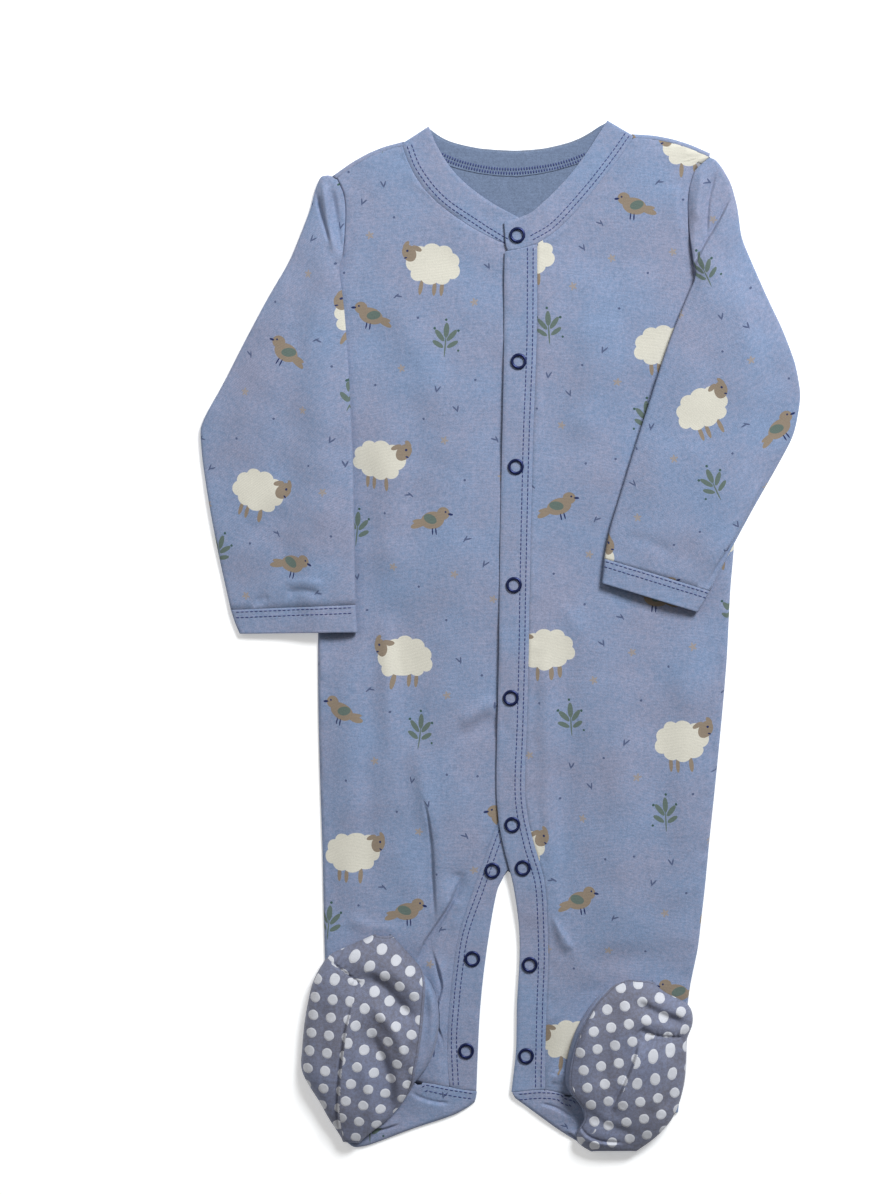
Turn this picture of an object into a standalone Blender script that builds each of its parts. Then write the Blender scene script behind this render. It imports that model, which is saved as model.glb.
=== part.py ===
"""A footed baby sleepsuit that lies flat on its back, with its feet folded up over the shins.

The tables are in millimetres and the meshes in metres. +X is the wearer's left, +Y runs up to the
neck and +Z is up from the surface that the suit lies on. Right and left are the wearer's.
"""

import math

import bmesh
import bpy
import numpy as np
from mathutils import Matrix

MM = 0.001

# Cloth
CLOTH = 1.4  # wall of one layer of interlock jersey
BAND = 1.6  # wall of the doubled placket
SEAM = 0.3  # clearance between two pieces that meet at a seam
SEAM_SHARE = 0.25  # how far each piece stops short of the seam line
ARMHOLE_GAP = 0.9
FRONT_TOP = 3.3  # outer face of the front where it lies flat on the back
LAP_RISE = SEAM + BAND  # how much higher the left front lies along the placket
LAP_REACH = 18.0  # over which it comes down again

# Side edges of the front, which roll down to the surface
ROLL_RADIUS = 3.2
ROLL_RIM = 0.45
ROLL_ANGLES = (0, 30, 60, 90)
ROLL_SHARE = 0.7  # most of a narrow strip that rolls
ROLL_START = 224.0  # height of the underarm
ROLL_FADE = 26.0
BACK_INSET = 2.8  # the back stops inside the rolled edge
LEG_INSET = 1.0  # and inside the open edge of each leg

# Shoulders and neck
SHOULDER_CROWN = 3.0
CROWN_FADE = (1.0, 0.6, 0.25)
SHOULDER_WRAP = 2.8  # how far the back comes over the shoulder
SHOULDER_GAP = 0.45  # from there to the front, whose edge is the more finely curved one
FOLD_RADIUS = FRONT_TOP / 2
FOLD_ANGLES = (90, 45, 0, -45, -90)

# Free height of the front over the back
LOFT = 1.5
LOFT_MOST = 3.4
LOFT_MARGIN = 16.0
COVER_START = 17.0
COVER_MARGIN = 14.0

# What lies on the front
REST_TOP = FRONT_TOP + SEAM
RAMP_START = -3.0
RAMP_END = -18.0

# Sleeves and cuffs
TUBE_EDGE = 4.3  # thickness of a sleeve at its folds
TUBE_COLUMNS = 7
TUBE_CAP = (45, 0, -45)
TUBE_PLUMP = 0.8
SWELL_FULL = 2.8
SLANT_LEAST = 0.3
ARMHOLE_FADE = (1.0, 0.75, 0.5, 0.3, 0.15, 0.05)  # of the armhole's curve, ring by ring

# Feet
FOOT_COLUMNS = 14
FOOT_FULLNESS = 2.6  # exponent of the rounded section
FOOT_RIM = 1.2
SOLE_GAP = 1.0  # between the folded upper and the sole over it
SOLE_INSET = 1.9  # the upper's outline lies this far inside the sole's

# Ring snaps
RING_RADIUS = 4.1
RING_WIDTH = 0.9
RING_HEIGHT = 0.6
RING_STEPS = 13
RING_SIDES = 4

COLOURS = {
    "jersey": ((0.262, 0.323, 0.533), 0.9, 0.0),
    "sole_cloth": ((0.140, 0.160, 0.270), 0.85, 0.0),
    "snap_metal": ((0.010, 0.018, 0.085), 0.35, 0.6),
}


def table(columns, *rows):
    """Rows of millimetres as one array per named column."""
    return dict(zip(columns.split(), np.array(rows, float).T))


# Yoke of each front, from the shoulder seam down to where the neckband ends: armhole, the seam
# that joins front and neckband, and the neckband's free edge.
YOKE_COLUMNS = "armhole_x armhole_y seam_x seam_y edge_x edge_y"
YOKE_RIGHT = table(
    YOKE_COLUMNS,
    (-101.4, 285.2, -61.7, 306.3, -45.0, 317.1),
    (-98.0, 279.9, -58.6, 297.9, -40.9, 307.2),
    (-95.8, 273.1, -53.9, 288.0, -35.0, 296.7),
    (-95.4, 265.1, -47.4, 278.1, -28.2, 287.7),
    (-95.8, 255.8, -38.8, 269.4, -20.1, 279.9),
    (-96.4, 246.4, -28.2, 261.3, -11.8, 273.7),
    (-97.5, 237.2, -16.4, 253.6, -2.8, 267.8),
    (-100.8, 227.8, -2.2, 246.1, 6.5, 262.9),
    (-105.7, 217.3, 12.1, 240.9, 15.2, 258.2),
)
YOKE_LEFT = table(
    YOKE_COLUMNS,
    (129.3, 297.9, 82.8, 311.2, 66.3, 320.9),
    (121.2, 294.8, 77.8, 303.5, 60.5, 311.9),
    (117.2, 284.9, 71.0, 294.5, 54.2, 301.9),
    (115.3, 274.4, 62.9, 284.6, 47.4, 292.6),
    (115.3, 263.2, 55.2, 274.7, 40.0, 283.6),
    (116.2, 252.0, 46.2, 263.8, 32.5, 275.6),
    (117.5, 240.9, 35.6, 253.3, 25.1, 268.5),
    (119.3, 229.7, 27.0, 246.8, 18.9, 263.2),
    (127.4, 219.2, 22.7, 244.4, 15.4, 261.6),
)
# The neckband's upper end laps over the right one.
NECK_END = table(
    "seam_x seam_y edge_x edge_y",
    (3.4, 239.6, 2.2, 257.6),
    (11.5, 240.9, 7.8, 258.9),
)
# Back neck, from each shoulder to the centre: seam and free edge of the band.
NECK_COLUMNS = "seam_x seam_y edge_x edge_y"
BACK_NECK_RIGHT = table(
    NECK_COLUMNS,
    (-61.7, 306.3, -45.0, 317.1),
    (-55.5, 302.9, -42.5, 314.6),
    (-49.0, 299.5, -39.4, 312.2),
    (-41.9, 296.4, -35.3, 309.7),
    (-33.8, 293.3, -30.1, 307.5),
    (-24.5, 290.5, -22.6, 305.5),
    (-13.9, 288.1, -13.0, 303.6),
    (-2.2, 286.6, -2.2, 302.7),
    (10.2, 286.1, 9.3, 302.2),
)
BACK_NECK_LEFT = table(
    NECK_COLUMNS,
    (82.8, 311.2, 66.3, 320.9),
    (76.0, 307.2, 61.4, 317.4),
    (68.5, 303.2, 55.8, 313.7),
    (60.5, 299.1, 49.9, 310.3),
    (51.8, 295.4, 43.1, 307.5),
    (42.5, 292.3, 35.3, 305.4),
    (32.5, 289.5, 27.0, 303.6),
    (22.0, 287.4, 18.3, 302.7),
    (10.2, 286.1, 9.3, 302.2),
)
# Body, from the underarm to the crotch: side edge, inner edge of the front, placket's free edge
# and the centre of the back.
BODY_RIGHT = table(
    "side_x side_y seam_x seam_y centre_x centre_y",
    (-109.4, 203.7, 13.9, 225.4, 10.2, 256.4),
    (-110.7, 182.0, 13.3, 191.9, 9.9, 216.1),
    (-111.6, 147.9, 12.7, 157.2, 9.6, 172.7),
    (-112.2, 107.6, 12.1, 116.9, 9.3, 123.1),
    (-112.5, 67.3, 11.2, 70.4, 9.0, 70.4),
    (-112.8, 30.1, 10.2, 30.1, 8.4, 30.1),
    (-113.2, -10.2, 9.3, -10.2, 7.8, -10.2),
    (-112.8, -53.6, 8.1, -53.6, 7.1, -53.6),
    (-111.6, -97.0, 3.6, -97.0, 6.5, -97.0),
    (-110.4, -131.1, -6.6, -126.2, 5.6, -142.3),
)
BODY_LEFT = table(
    "side_x side_y seam_x seam_y edge_x edge_y centre_x centre_y",
    (137.3, 209.9, 22.6, 230.0, 2.3, 229.0, 10.2, 256.4),
    (144.2, 194.4, 22.6, 213.0, 2.2, 213.0, 9.9, 216.1),
    (146.0, 166.5, 22.2, 182.0, 2.2, 182.0, 9.6, 172.7),
    (146.6, 123.1, 20.2, 129.3, 1.2, 129.3, 9.3, 123.1),
    (146.0, 73.5, 18.8, 73.5, 0.0, 73.5, 9.0, 70.4),
    (142.3, 30.1, 17.9, 30.1, -0.6, 30.1, 8.4, 30.1),
    (140.4, -10.2, 17.3, -10.2, -0.9, -10.2, 7.8, -10.2),
    (136.7, -53.6, 16.2, -53.6, -1.9, -53.6, 7.1, -53.6),
    (132.4, -97.0, 15.0, -97.0, -2.5, -98.3, 6.5, -97.0),
    (129.3, -126.2, 20.0, -124.9, 1.2, -126.2, 5.6, -142.3),
)
PLACKET_TOP = table("seam_x seam_y edge_x edge_y", (22.5, 243.4, 2.6, 238.9))
# Legs, from the crotch to the ankle: side edge, placket seam and open inner edge.
LEG_COLUMNS = "side_x side_y seam_x seam_y edge_x edge_y"
LEG_RIGHT = table(
    LEG_COLUMNS,
    (-110.0, -152.8, -15.6, -151.6, -2.2, -154.7),
    (-109.4, -178.9, -25.7, -181.3, -7.4, -183.2),
    (-108.8, -202.4, -29.6, -205.5, -10.8, -208.0),
    (-108.2, -227.2, -31.8, -227.2, -13.0, -230.3),
    (-107.6, -245.8, -33.2, -248.9, -14.3, -255.1),
    (-107.0, -261.3, -32.0, -277.4, -15.2, -279.9),
)
LEG_LEFT = table(
    LEG_COLUMNS,
    (126.8, -152.8, 27.2, -149.7, 7.4, -149.7),
    (124.3, -174.5, 29.0, -175.8, 11.5, -177.6),
    (122.1, -193.1, 29.5, -199.3, 11.8, -200.6),
    (117.5, -214.8, 28.6, -224.1, 10.2, -226.0),
    (115.0, -236.5, 27.8, -248.9, 9.9, -252.0),
    (113.2, -261.3, 27.6, -266.3, 8.4, -267.5),
    (110.0, -293.6, 27.6, -278.6, 6.8, -280.6),
)
# The right placket starts under the left one, beside the last two rows of the right front's body.
LEG_LAP = table("edge_x edge_y", (12.7, -109.4), (5.0, -141.1))
# Last row of the back under each heel.
BACK_END_RIGHT = ((-94.6, -309.1), (-18.3, -285.5))
BACK_END_LEFT = ((86.5, -307.8), (10.2, -283.7))

# Sleeves, from the armhole to the cuff seam: outer fold, inner fold and how far the upper layer
# stands off the lower one.
SLEEVE_COLUMNS = "outer_x outer_y inner_x inner_y swell"
SLEEVE_RIGHT = table(
    SLEEVE_COLUMNS,
    (-101.4, 285.2, -97.7, 233.4, 0.0),
    (-106.3, 287.1, -98.6, 231.8, 0.8),
    (-111.6, 286.4, -99.2, 229.8, 1.6),
    (-115.0, 278.1, -99.4, 227.3, 2.2),
    (-117.8, 266.3, -99.2, 224.0, 2.6),
    (-122.5, 253.9, -98.6, 219.5, 2.8),
    (-130.5, 234.1, -97.6, 212.0, 2.9),
    (-144.2, 211.1, -96.4, 201.0, 2.9),
    (-158.4, 184.4, -95.2, 186.0, 2.9),
    (-172.1, 157.2, -93.8, 165.0, 2.9),
    (-182.9, 138.4, -92.6, 144.0, 2.8),
    (-186.3, 129.5, -91.7, 124.0, 2.8),
    (-184.9, 110.7, -91.0, 103.0, 2.6),
    (-180.7, 82.8, -90.5, 78.0, 2.4),
    (-175.2, 53.6, -90.0, 50.0, 2.0),
    (-167.3, 17.9, -89.6, 20.9, 1.4),
)
SLEEVE_LEFT = table(
    SLEEVE_COLUMNS,
    (129.6, 297.9, 119.3, 228.5, 0.0),
    (133.0, 296.7, 120.3, 226.8, 0.8),
    (137.3, 291.7, 120.4, 224.8, 1.6),
    (142.9, 281.8, 120.0, 222.5, 2.2),
    (146.9, 266.9, 118.8, 219.4, 2.6),
    (149.1, 248.3, 116.6, 214.8, 2.8),
    (155.9, 232.2, 113.5, 207.5, 2.9),
    (165.2, 211.1, 109.2, 197.5, 2.9),
    (174.5, 191.9, 103.2, 182.0, 2.9),
    (182.6, 170.8, 96.3, 161.0, 2.9),
    (186.3, 150.3, 88.0, 134.5, 2.8),
    (182.0, 126.2, 79.5, 108.5, 2.8),
    (170.2, 104.5, 72.2, 84.0, 2.6),
    (157.2, 82.2, 67.6, 69.0, 2.4),
    (144.2, 58.6, 65.1, 58.0, 2.0),
    (129.4, 29.4, 63.9, 49.6, 1.4),
)
CUFF_RIGHT = table(SLEEVE_COLUMNS, (-164.8, 10.0, -89.0, 12.2, 1.4), (-161.8, 3.1, -88.3, 4.0, 1.4))
CUFF_LEFT = table(SLEEVE_COLUMNS, (125.4, 22.4, 63.1, 41.4, 1.4), (121.8, 16.4, 62.3, 34.4, 1.4))

# Feet, from the toe down to the heel: outline, width of the plain side strip and crown height.
FOOT_COLUMN_NAMES = "y left right plain crown"
FOOT_RIGHT = table(
    FOOT_COLUMN_NAMES,
    (-182.9, -77.2, -68.5, 0.0, 2.0),
    (-190.0, -93.0, -61.7, 0.0, 6.0),
    (-195.6, -105.1, -56.7, 0.0, 8.5),
    (-203.1, -111.0, -50.2, 0.0, 10.5),
    (-213.0, -115.9, -43.4, 4.3, 11.5),
    (-224.8, -118.7, -38.8, 9.3, 12.0),
    (-239.6, -121.2, -38.1, 11.2, 12.5),
    (-255.1, -122.5, -41.2, 10.5, 12.5),
    (-265.1, -123.1, -45.6, 8.1, 12.0),
    (-273.7, -120.0, -52.4, 2.8, 11.5),
    (-284.9, -112.5, -59.8, 0.0, 10.0),
    (-296.7, -105.7, -69.8, 0.0, 8.0),
    (-304.7, -100.4, -80.3, 0.0, 5.5),
    (-311.6, -96.1, -88.3, 0.0, 2.5),
)
FOOT_LEFT = table(
    FOOT_COLUMN_NAMES,
    (-211.1, 80.3, 92.7, 0.0, 2.0),
    (-214.5, 69.1, 95.8, 1.9, 5.5),
    (-219.8, 62.0, 102.6, 3.1, 8.0),
    (-225.4, 56.7, 114.4, 3.1, 9.5),
    (-232.2, 52.1, 118.1, 3.7, 11.0),
    (-239.6, 47.7, 117.8, 3.7, 12.0),
    (-247.1, 44.6, 114.7, 3.7, 12.5),
    (-256.4, 41.9, 114.4, 3.7, 12.5),
    (-265.1, 40.3, 114.1, 3.7, 12.5),
    (-273.7, 39.7, 113.2, 3.7, 12.0),
    (-281.2, 42.8, 111.6, 3.7, 11.5),
    (-289.2, 49.6, 109.1, 3.1, 10.5),
    (-297.3, 50.5, 105.1, 1.2, 9.0),
    (-304.7, 47.4, 98.9, 0.0, 7.0),
    (-311.6, 48.0, 90.8, 0.0, 4.5),
    (-316.8, 56.7, 82.8, 0.0, 2.0),
)
# Heels, from the open edge of the leg round to under the foot.
HEEL_COLUMNS = "upper_x upper_y lower_x lower_y"
HEEL_RIGHT = table(
    HEEL_COLUMNS,
    (-14.9, -280.6, -16.1, -287.4),
    (-20.1, -280.3, -20.1, -290.5),
    (-25.4, -279.6, -27.0, -294.5),
    (-33.8, -277.7, -36.9, -298.2),
    (-43.7, -275.6, -48.7, -301.9),
    (-54.2, -276.8, -61.1, -306.3),
    (-65.4, -284.9, -72.8, -310.9),
    (-76.6, -293.6, -83.4, -314.6),
    (-85.9, -299.8, -90.8, -315.6),
    (-92.1, -302.9, -95.5, -312.2),
    (-96.4, -301.0, -99.5, -305.4),
)
HEEL_LEFT = table(
    HEEL_COLUMNS,
    (7.4, -281.2, 9.0, -284.9),
    (14.6, -280.5, 17.1, -290.8),
    (22.6, -279.5, 25.1, -296.7),
    (31.9, -280.9, 34.4, -303.5),
    (41.2, -283.6, 43.1, -309.1),
    (49.3, -288.9, 51.1, -313.7),
    (56.7, -295.5, 59.8, -317.1),
    (64.8, -300.4, 67.9, -317.1),
)

# Soft ridges (up) and troughs (down) of each layer: both ends, half width and height.
FOLD_COLUMNS = "x1 y1 x2 y2 width height"
BODY_FOLDS = table(
    FOLD_COLUMNS,
    (-54.0, 112.0, -53.0, -70.0, 9.0, -1.5),
    (-67.0, 105.0, -65.0, -80.0, 11.0, 1.1),
    (-46.0, -92.0, -39.0, -172.0, 7.0, -1.6),
    (-32.0, -98.0, -28.0, -165.0, 8.0, 1.2),
    (-78.0, 20.0, -76.0, -160.0, 12.0, -1.1),
    (-93.0, 5.0, -92.0, -150.0, 9.0, 0.9),
    (44.0, -30.0, 49.0, -190.0, 13.0, -1.3),
    (32.0, -35.0, 33.0, -185.0, 8.0, 1.0),
    (78.0, -60.0, 74.0, -180.0, 15.0, 0.9),
    (98.0, 15.0, 95.0, -120.0, 13.0, -0.9),
    (-60.0, 190.0, -35.0, 130.0, 20.0, 0.7),
    (60.0, 205.0, 50.0, 120.0, 20.0, 0.7),
)
SLEEVE_RIGHT_FOLDS = table(
    FOLD_COLUMNS,
    (-155.0, 82.0, -122.0, 55.0, 9.0, -1.2),
    (-162.0, 60.0, -128.0, 36.0, 8.0, 0.7),
    (-112.0, 272.0, -104.0, 240.0, 5.0, -1.2),
    (-150.0, 170.0, -110.0, 150.0, 16.0, 0.5),
    (-172.0, 122.0, -130.0, 112.0, 12.0, -0.8),
)
SLEEVE_LEFT_FOLDS = table(
    FOLD_COLUMNS,
    (138.0, 268.0, 120.0, 236.0, 5.0, -1.2),
    (145.0, 262.0, 127.0, 226.0, 6.0, 1.0),
    (128.0, 282.0, 125.0, 258.0, 4.0, -0.9),
    (178.0, 136.0, 130.0, 128.0, 12.0, -0.9),
    (150.0, 96.0, 100.0, 88.0, 11.0, -0.7),
    (150.0, 200.0, 120.0, 160.0, 15.0, 0.5),
)
FOOT_RIGHT_FOLDS = table(
    FOLD_COLUMNS,
    (-104.0, -199.0, -86.0, -213.0, 7.0, -2.6),
    (-86.0, -213.0, -50.0, -231.0, 9.0, -2.4),
    (-78.0, -240.0, -71.0, -292.0, 8.0, -3.0),
    (-94.0, -228.0, -99.0, -300.0, 7.0, -1.8),
)
FOOT_LEFT_FOLDS = table(
    FOLD_COLUMNS,
    (87.0, -244.0, 116.0, -246.0, 5.0, -3.0),
    (85.0, -248.0, 68.0, -289.0, 5.5, -2.4),
    (60.0, -240.0, 52.0, -280.0, 8.0, 1.0),
    (96.0, -262.0, 90.0, -295.0, 12.0, 0.8),
)

# Ring centres: neckband, front placket, right leg, left leg.
NECK_RING = (10.2, 249.4)
FRONT_RINGS = ((11.0, 171.4), (9.3, 106.3), (8.1, 33.2), (6.2, -36.6), (7.1, -115.0))
RIGHT_LEG_RINGS = ((-5.2, -143.5), (-17.6, -198.1), (-21.4, -255.1))
LEFT_LEG_RINGS = ((13.6, -141.7), (17.9, -201.8), (15.6, -258.2))


# ---------------------------------------------------------------- curves and distances


def spline(points, steps):
    """The points, with steps - 1 more between each two, on a Catmull-Rom curve."""
    before = 2 * points[0] - points[1]
    after = 2 * points[-1] - points[-2]
    padded = np.vstack((before, points, after))
    t = np.arange(steps)[:, None] / steps
    runs = []
    for a, b, c, d in zip(padded, padded[1:], padded[2:], padded[3:]):
        cubic = 2 * b + (c - a) * t + (2 * a - 5 * b + 4 * c - d) * t**2 + (3 * b - a - 3 * c + d) * t**3
        runs.append(cubic / 2)
    return np.vstack(runs + [points[-1:]])


def line(rows, name, steps=1):
    """The curve that a table's NAME_x and NAME_y columns give."""
    return spline(np.column_stack((rows[f"{name}_x"], rows[f"{name}_y"])), steps)


def smooth(t):
    """0 to 1 with level ends."""
    t = np.clip(t, 0.0, 1.0)
    return t * t * (3 - 2 * t)


def unit(vectors):
    return vectors / np.linalg.norm(vectors, axis=-1, keepdims=True)


def slant(fold, other):
    """Sine of the angle between a fold and each row that crosses it, so that oblique rows reach as far."""
    along = unit(np.gradient(fold, axis=0))
    row = unit(other - fold)
    return np.maximum(abs(along[:, 0] * row[:, 1] - along[:, 1] * row[:, 0]), SLANT_LEAST)


def segment_distance(xy, start, end):
    """How far each point is from the segment between two points."""
    along = end - start
    share = np.clip(((xy - start) @ along) / (along @ along), 0.0, 1.0)
    return np.linalg.norm(xy - (start + share[..., None] * along), axis=-1)


def depth_inside(xy, outline):
    """How far each point lies inside a closed outline, negative outside it."""
    nearest = np.full(xy.shape[:-1], np.inf)
    inside = np.zeros(xy.shape[:-1], bool)
    for start, end in zip(outline, np.roll(outline, -1, axis=0)):
        nearest = np.minimum(nearest, segment_distance(xy, start, end))
        if start[1] == end[1]:
            continue
        crosses = (start[1] > xy[..., 1]) != (end[1] > xy[..., 1])
        at = start[0] + (xy[..., 1] - start[1]) * (end[0] - start[0]) / (end[1] - start[1])
        inside ^= crosses & (xy[..., 0] < at)
    return np.where(inside, nearest, -nearest)


def fold_relief(xy, folds):
    """Height that a layer's ridges and troughs add at each point."""
    height = np.zeros(xy.shape[:-1])
    for x1, y1, x2, y2, width, rise in zip(*folds.values()):
        away = segment_distance(xy, np.array((x1, y1)), np.array((x2, y2)))
        height += rise * np.exp(-((away / width) ** 2))
    return height


# ---------------------------------------------------------------- outlines and heights


def body_outline():
    """The flat body and heels below the armholes, as one closed line."""
    return np.vstack(
        (
            line(YOKE_RIGHT, "armhole")[6:],
            line(BODY_RIGHT, "side"),
            line(LEG_RIGHT, "side"),
            line(HEEL_RIGHT, "lower")[::-1],
            line(LEG_RIGHT, "edge")[::-1],
            line(BODY_RIGHT, "centre")[-1:],
            line(LEG_LEFT, "edge"),
            line(HEEL_LEFT, "lower"),
            line(LEG_LEFT, "side")[::-1],
            line(BODY_LEFT, "side")[::-1],
            line(YOKE_LEFT, "armhole")[:5:-1],
        )
    )


def tube_outline(rows):
    return np.vstack((line(rows, "outer"), line(rows, "inner")[::-1]))


def foot_outline(rows):
    left = np.column_stack((rows["left"], rows["y"]))
    right = np.column_stack((rows["right"], rows["y"]))
    return np.vstack((left, right[::-1]))


BODY_OUTLINE = body_outline()
COVERS = (
    tube_outline(SLEEVE_RIGHT),
    tube_outline(SLEEVE_LEFT),
    tube_outline(CUFF_RIGHT),
    tube_outline(CUFF_LEFT),
    foot_outline(FOOT_RIGHT),
    foot_outline(FOOT_LEFT),
)


def ground(xy):
    """Lowest height for what lies on the suit: over the body, or down on the surface beside it."""
    depth = depth_inside(xy, BODY_OUTLINE)
    return REST_TOP * smooth((depth - RAMP_END) / (RAMP_START - RAMP_END))


def placket_seam_x(y):
    rows = np.vstack((line(BODY_LEFT, "seam"), line(LEG_LEFT, "seam")))[::-1]
    return np.interp(y, rows[:, 1], rows[:, 0])


def lap_rise(xy):
    """How much the left front is lifted near the placket that laps over the right one."""
    beside = xy[..., 0] - placket_seam_x(xy[..., 1])
    open_leg = smooth((xy[..., 1] + 190.0) / 38.0)
    return LAP_RISE * smooth(1 - beside / LAP_REACH) * open_leg


def loft(xy):
    """Free height of the front, which dies out at its edges and under what covers it."""
    depth = depth_inside(xy, BODY_OUTLINE)
    free = smooth((depth - 4.0) / LOFT_MARGIN)
    free = free * smooth((262.0 - xy[..., 1]) / 60.0)
    for outline in COVERS:
        free = free * smooth((-depth_inside(xy, outline) - COVER_START) / COVER_MARGIN)
    band_side = np.minimum(abs(xy[..., 0] - placket_seam_x(xy[..., 1])), abs(xy[..., 0]))
    free = free * smooth((band_side - 6.0) / LOFT_MARGIN)
    free = free * np.where((xy[..., 0] > 0) & (xy[..., 0] < placket_seam_x(xy[..., 1])), 0.0, 1.0)
    for leg in (line(LEG_RIGHT, "seam"), line(LEG_LEFT, "seam")):
        away = np.min([segment_distance(xy, a, b) for a, b in zip(leg, leg[1:])], axis=0)
        free = free * smooth((away - 4.0) / LOFT_MARGIN)
    return np.clip((LOFT + fold_relief(xy, BODY_FOLDS)) * free, 0.0, LOFT_MOST)


# ---------------------------------------------------------------- meshes


def material(name):
    """The Principled finish of that name, made once."""
    if name in bpy.data.materials:
        return bpy.data.materials[name]
    colour, roughness, metallic = COLOURS[name]
    finish = bpy.data.materials.new(name)
    finish.use_nodes = True
    shader = finish.node_tree.nodes["Principled BSDF"]
    shader.inputs["Base Color"].default_value = (*colour, 1.0)
    shader.inputs["Roughness"].default_value = roughness
    shader.inputs["Metallic"].default_value = metallic
    return finish


def finish_object(name, bm, finish):
    """A shaded object from a bmesh in millimetres."""
    bmesh.ops.scale(bm, vec=(MM, MM, MM), verts=bm.verts)
    mesh = bpy.data.meshes.new(name)
    bm.to_mesh(mesh)
    bm.free()
    mesh.shade_smooth()
    mesh.set_sharp_from_angle(angle=math.radians(50))
    mesh.materials.append(material(finish))
    obj = bpy.data.objects.new(name, mesh)
    bpy.context.scene.collection.objects.link(obj)
    return obj


def add_grid(bm, grid, around=False):
    """Quads between rows of points. Around joins each row's last point to its first."""
    rows = [[bm.verts.new(point) for point in row] for row in grid]
    for upper, lower in zip(rows, rows[1:]):
        pairs = list(zip(upper, upper[1:], lower, lower[1:]))
        if around:
            pairs.append((upper[-1], upper[0], lower[-1], lower[0]))
        for a, b, c, d in pairs:
            bm.faces.new((a, b, d, c))
    return rows


def turn_out(bm, up):
    """Makes the faces agree, with the whole sheet facing up, or down for up = -1."""
    bmesh.ops.recalc_face_normals(bm, faces=bm.faces)
    if up * sum(face.normal.z * face.calc_area() for face in bm.faces) < 0:
        bmesh.ops.reverse_faces(bm, faces=bm.faces)


def thicken(obj, wall):
    """Cloth of that wall behind the outer face."""
    solidify = obj.modifiers.new("Cloth", "SOLIDIFY")
    solidify.thickness = wall * MM
    solidify.offset = -1.0
    solidify.use_quality_normals = True
    return obj


def raised(xy, height):
    """Plan points with a height each."""
    return np.concatenate((xy, np.broadcast_to(height, xy.shape[:-1])[..., None]), axis=-1)


def across(outer, inner, shares):
    """Rows of plan points between two edges; shares may differ from row to row."""
    shares = np.broadcast_to(shares, (len(outer), np.shape(shares)[-1]))[..., None]
    return outer[:, None] + (inner - outer)[:, None] * shares


def pulled(points, towards, amount):
    """Each point moved by amount towards its partner."""
    return points + unit(towards - points) * amount


def folded_row(seam, edge):
    """The shoulder end of the neckband, moved in so that its fold ends on the outline."""
    across_band = unit(edge - seam)
    inward = np.array((across_band[1], -across_band[0]))
    if inward[1] > 0:
        inward = -inward
    return inward * FOLD_RADIUS


# ---------------------------------------------------------------- panels


def yoke_lines(yoke):
    """Armhole, neck seam and free edge of a yoke, with its shoulder end set in from the fold."""
    armhole = line(yoke, "armhole")
    seam = line(yoke, "seam")
    edge = line(yoke, "edge")
    shift = folded_row(seam[0], edge[0])
    seam[0] += shift
    edge[0] += shift
    return armhole, seam, edge


def crown(xy, shares):
    """Adds the arch of the shoulder to the first rows of a yoke."""
    arch = SHOULDER_CROWN * 4 * shares * (1 - shares)
    for row, fade in enumerate(CROWN_FADE):
        xy[row, :, 1] += fade * arch[row]
    return xy


def stacked(names, *tables):
    """Rows of several tables as one, for the columns named."""
    return {name: np.concatenate([rows[name] for rows in tables]) for name in names.split()}


def roll_shares(outer, inner, columns):
    """Shares across each row: close together on the rolled edge, even beyond it."""
    width = np.linalg.norm(inner - outer, axis=1)[:, None]
    radius = np.minimum(ROLL_RADIUS, ROLL_SHARE * width)
    first = radius / width * (1 - np.cos(np.radians(ROLL_ANGLES)))
    rest = np.linspace(0, 1, columns + 1)[1:]
    return np.hstack((first, first[:, -1:] + (1 - first[:, -1:]) * rest))


def rolled_down(top, amount):
    """Brings the first columns of each row down to the surface, as a quarter of a circle."""
    arc = np.ones(top.shape[1])
    arc[: len(ROLL_ANGLES)] = np.sin(np.radians(ROLL_ANGLES))
    return top - (top - ROLL_RIM) * amount * (1 - arc)


def side_roll(outer):
    """How far each row's side is rolled: not at all at the armhole, fully below it."""
    return smooth((ROLL_START - outer[:, 1]) / ROLL_FADE)


def front(name, yoke, body, leg, columns, rise):
    """One front, from the shoulder seam to the ankle, rolled down along its side."""
    armhole, neck, _ = yoke_lines(yoke)
    edges = stacked("side_x side_y seam_x seam_y", body, leg)
    outer = np.vstack((armhole, line(edges, "side", 2)))
    inner = pulled(np.vstack((neck, line(edges, "seam", 2))), outer, SEAM_SHARE)
    count = len(armhole)
    outer[:count] = pulled(outer[:count], inner[:count], ARMHOLE_GAP / 2)
    shares = roll_shares(outer, inner, columns)
    xy = crown(across(outer, inner, shares), shares)
    top = rolled_down(FRONT_TOP + loft(xy) + rise(xy), side_roll(outer)[:, None])
    bm = bmesh.new()
    add_grid(bm, raised(xy, top))
    turn_out(bm, 1)
    return thicken(finish_object(name, bm, "jersey"), CLOTH)


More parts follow.
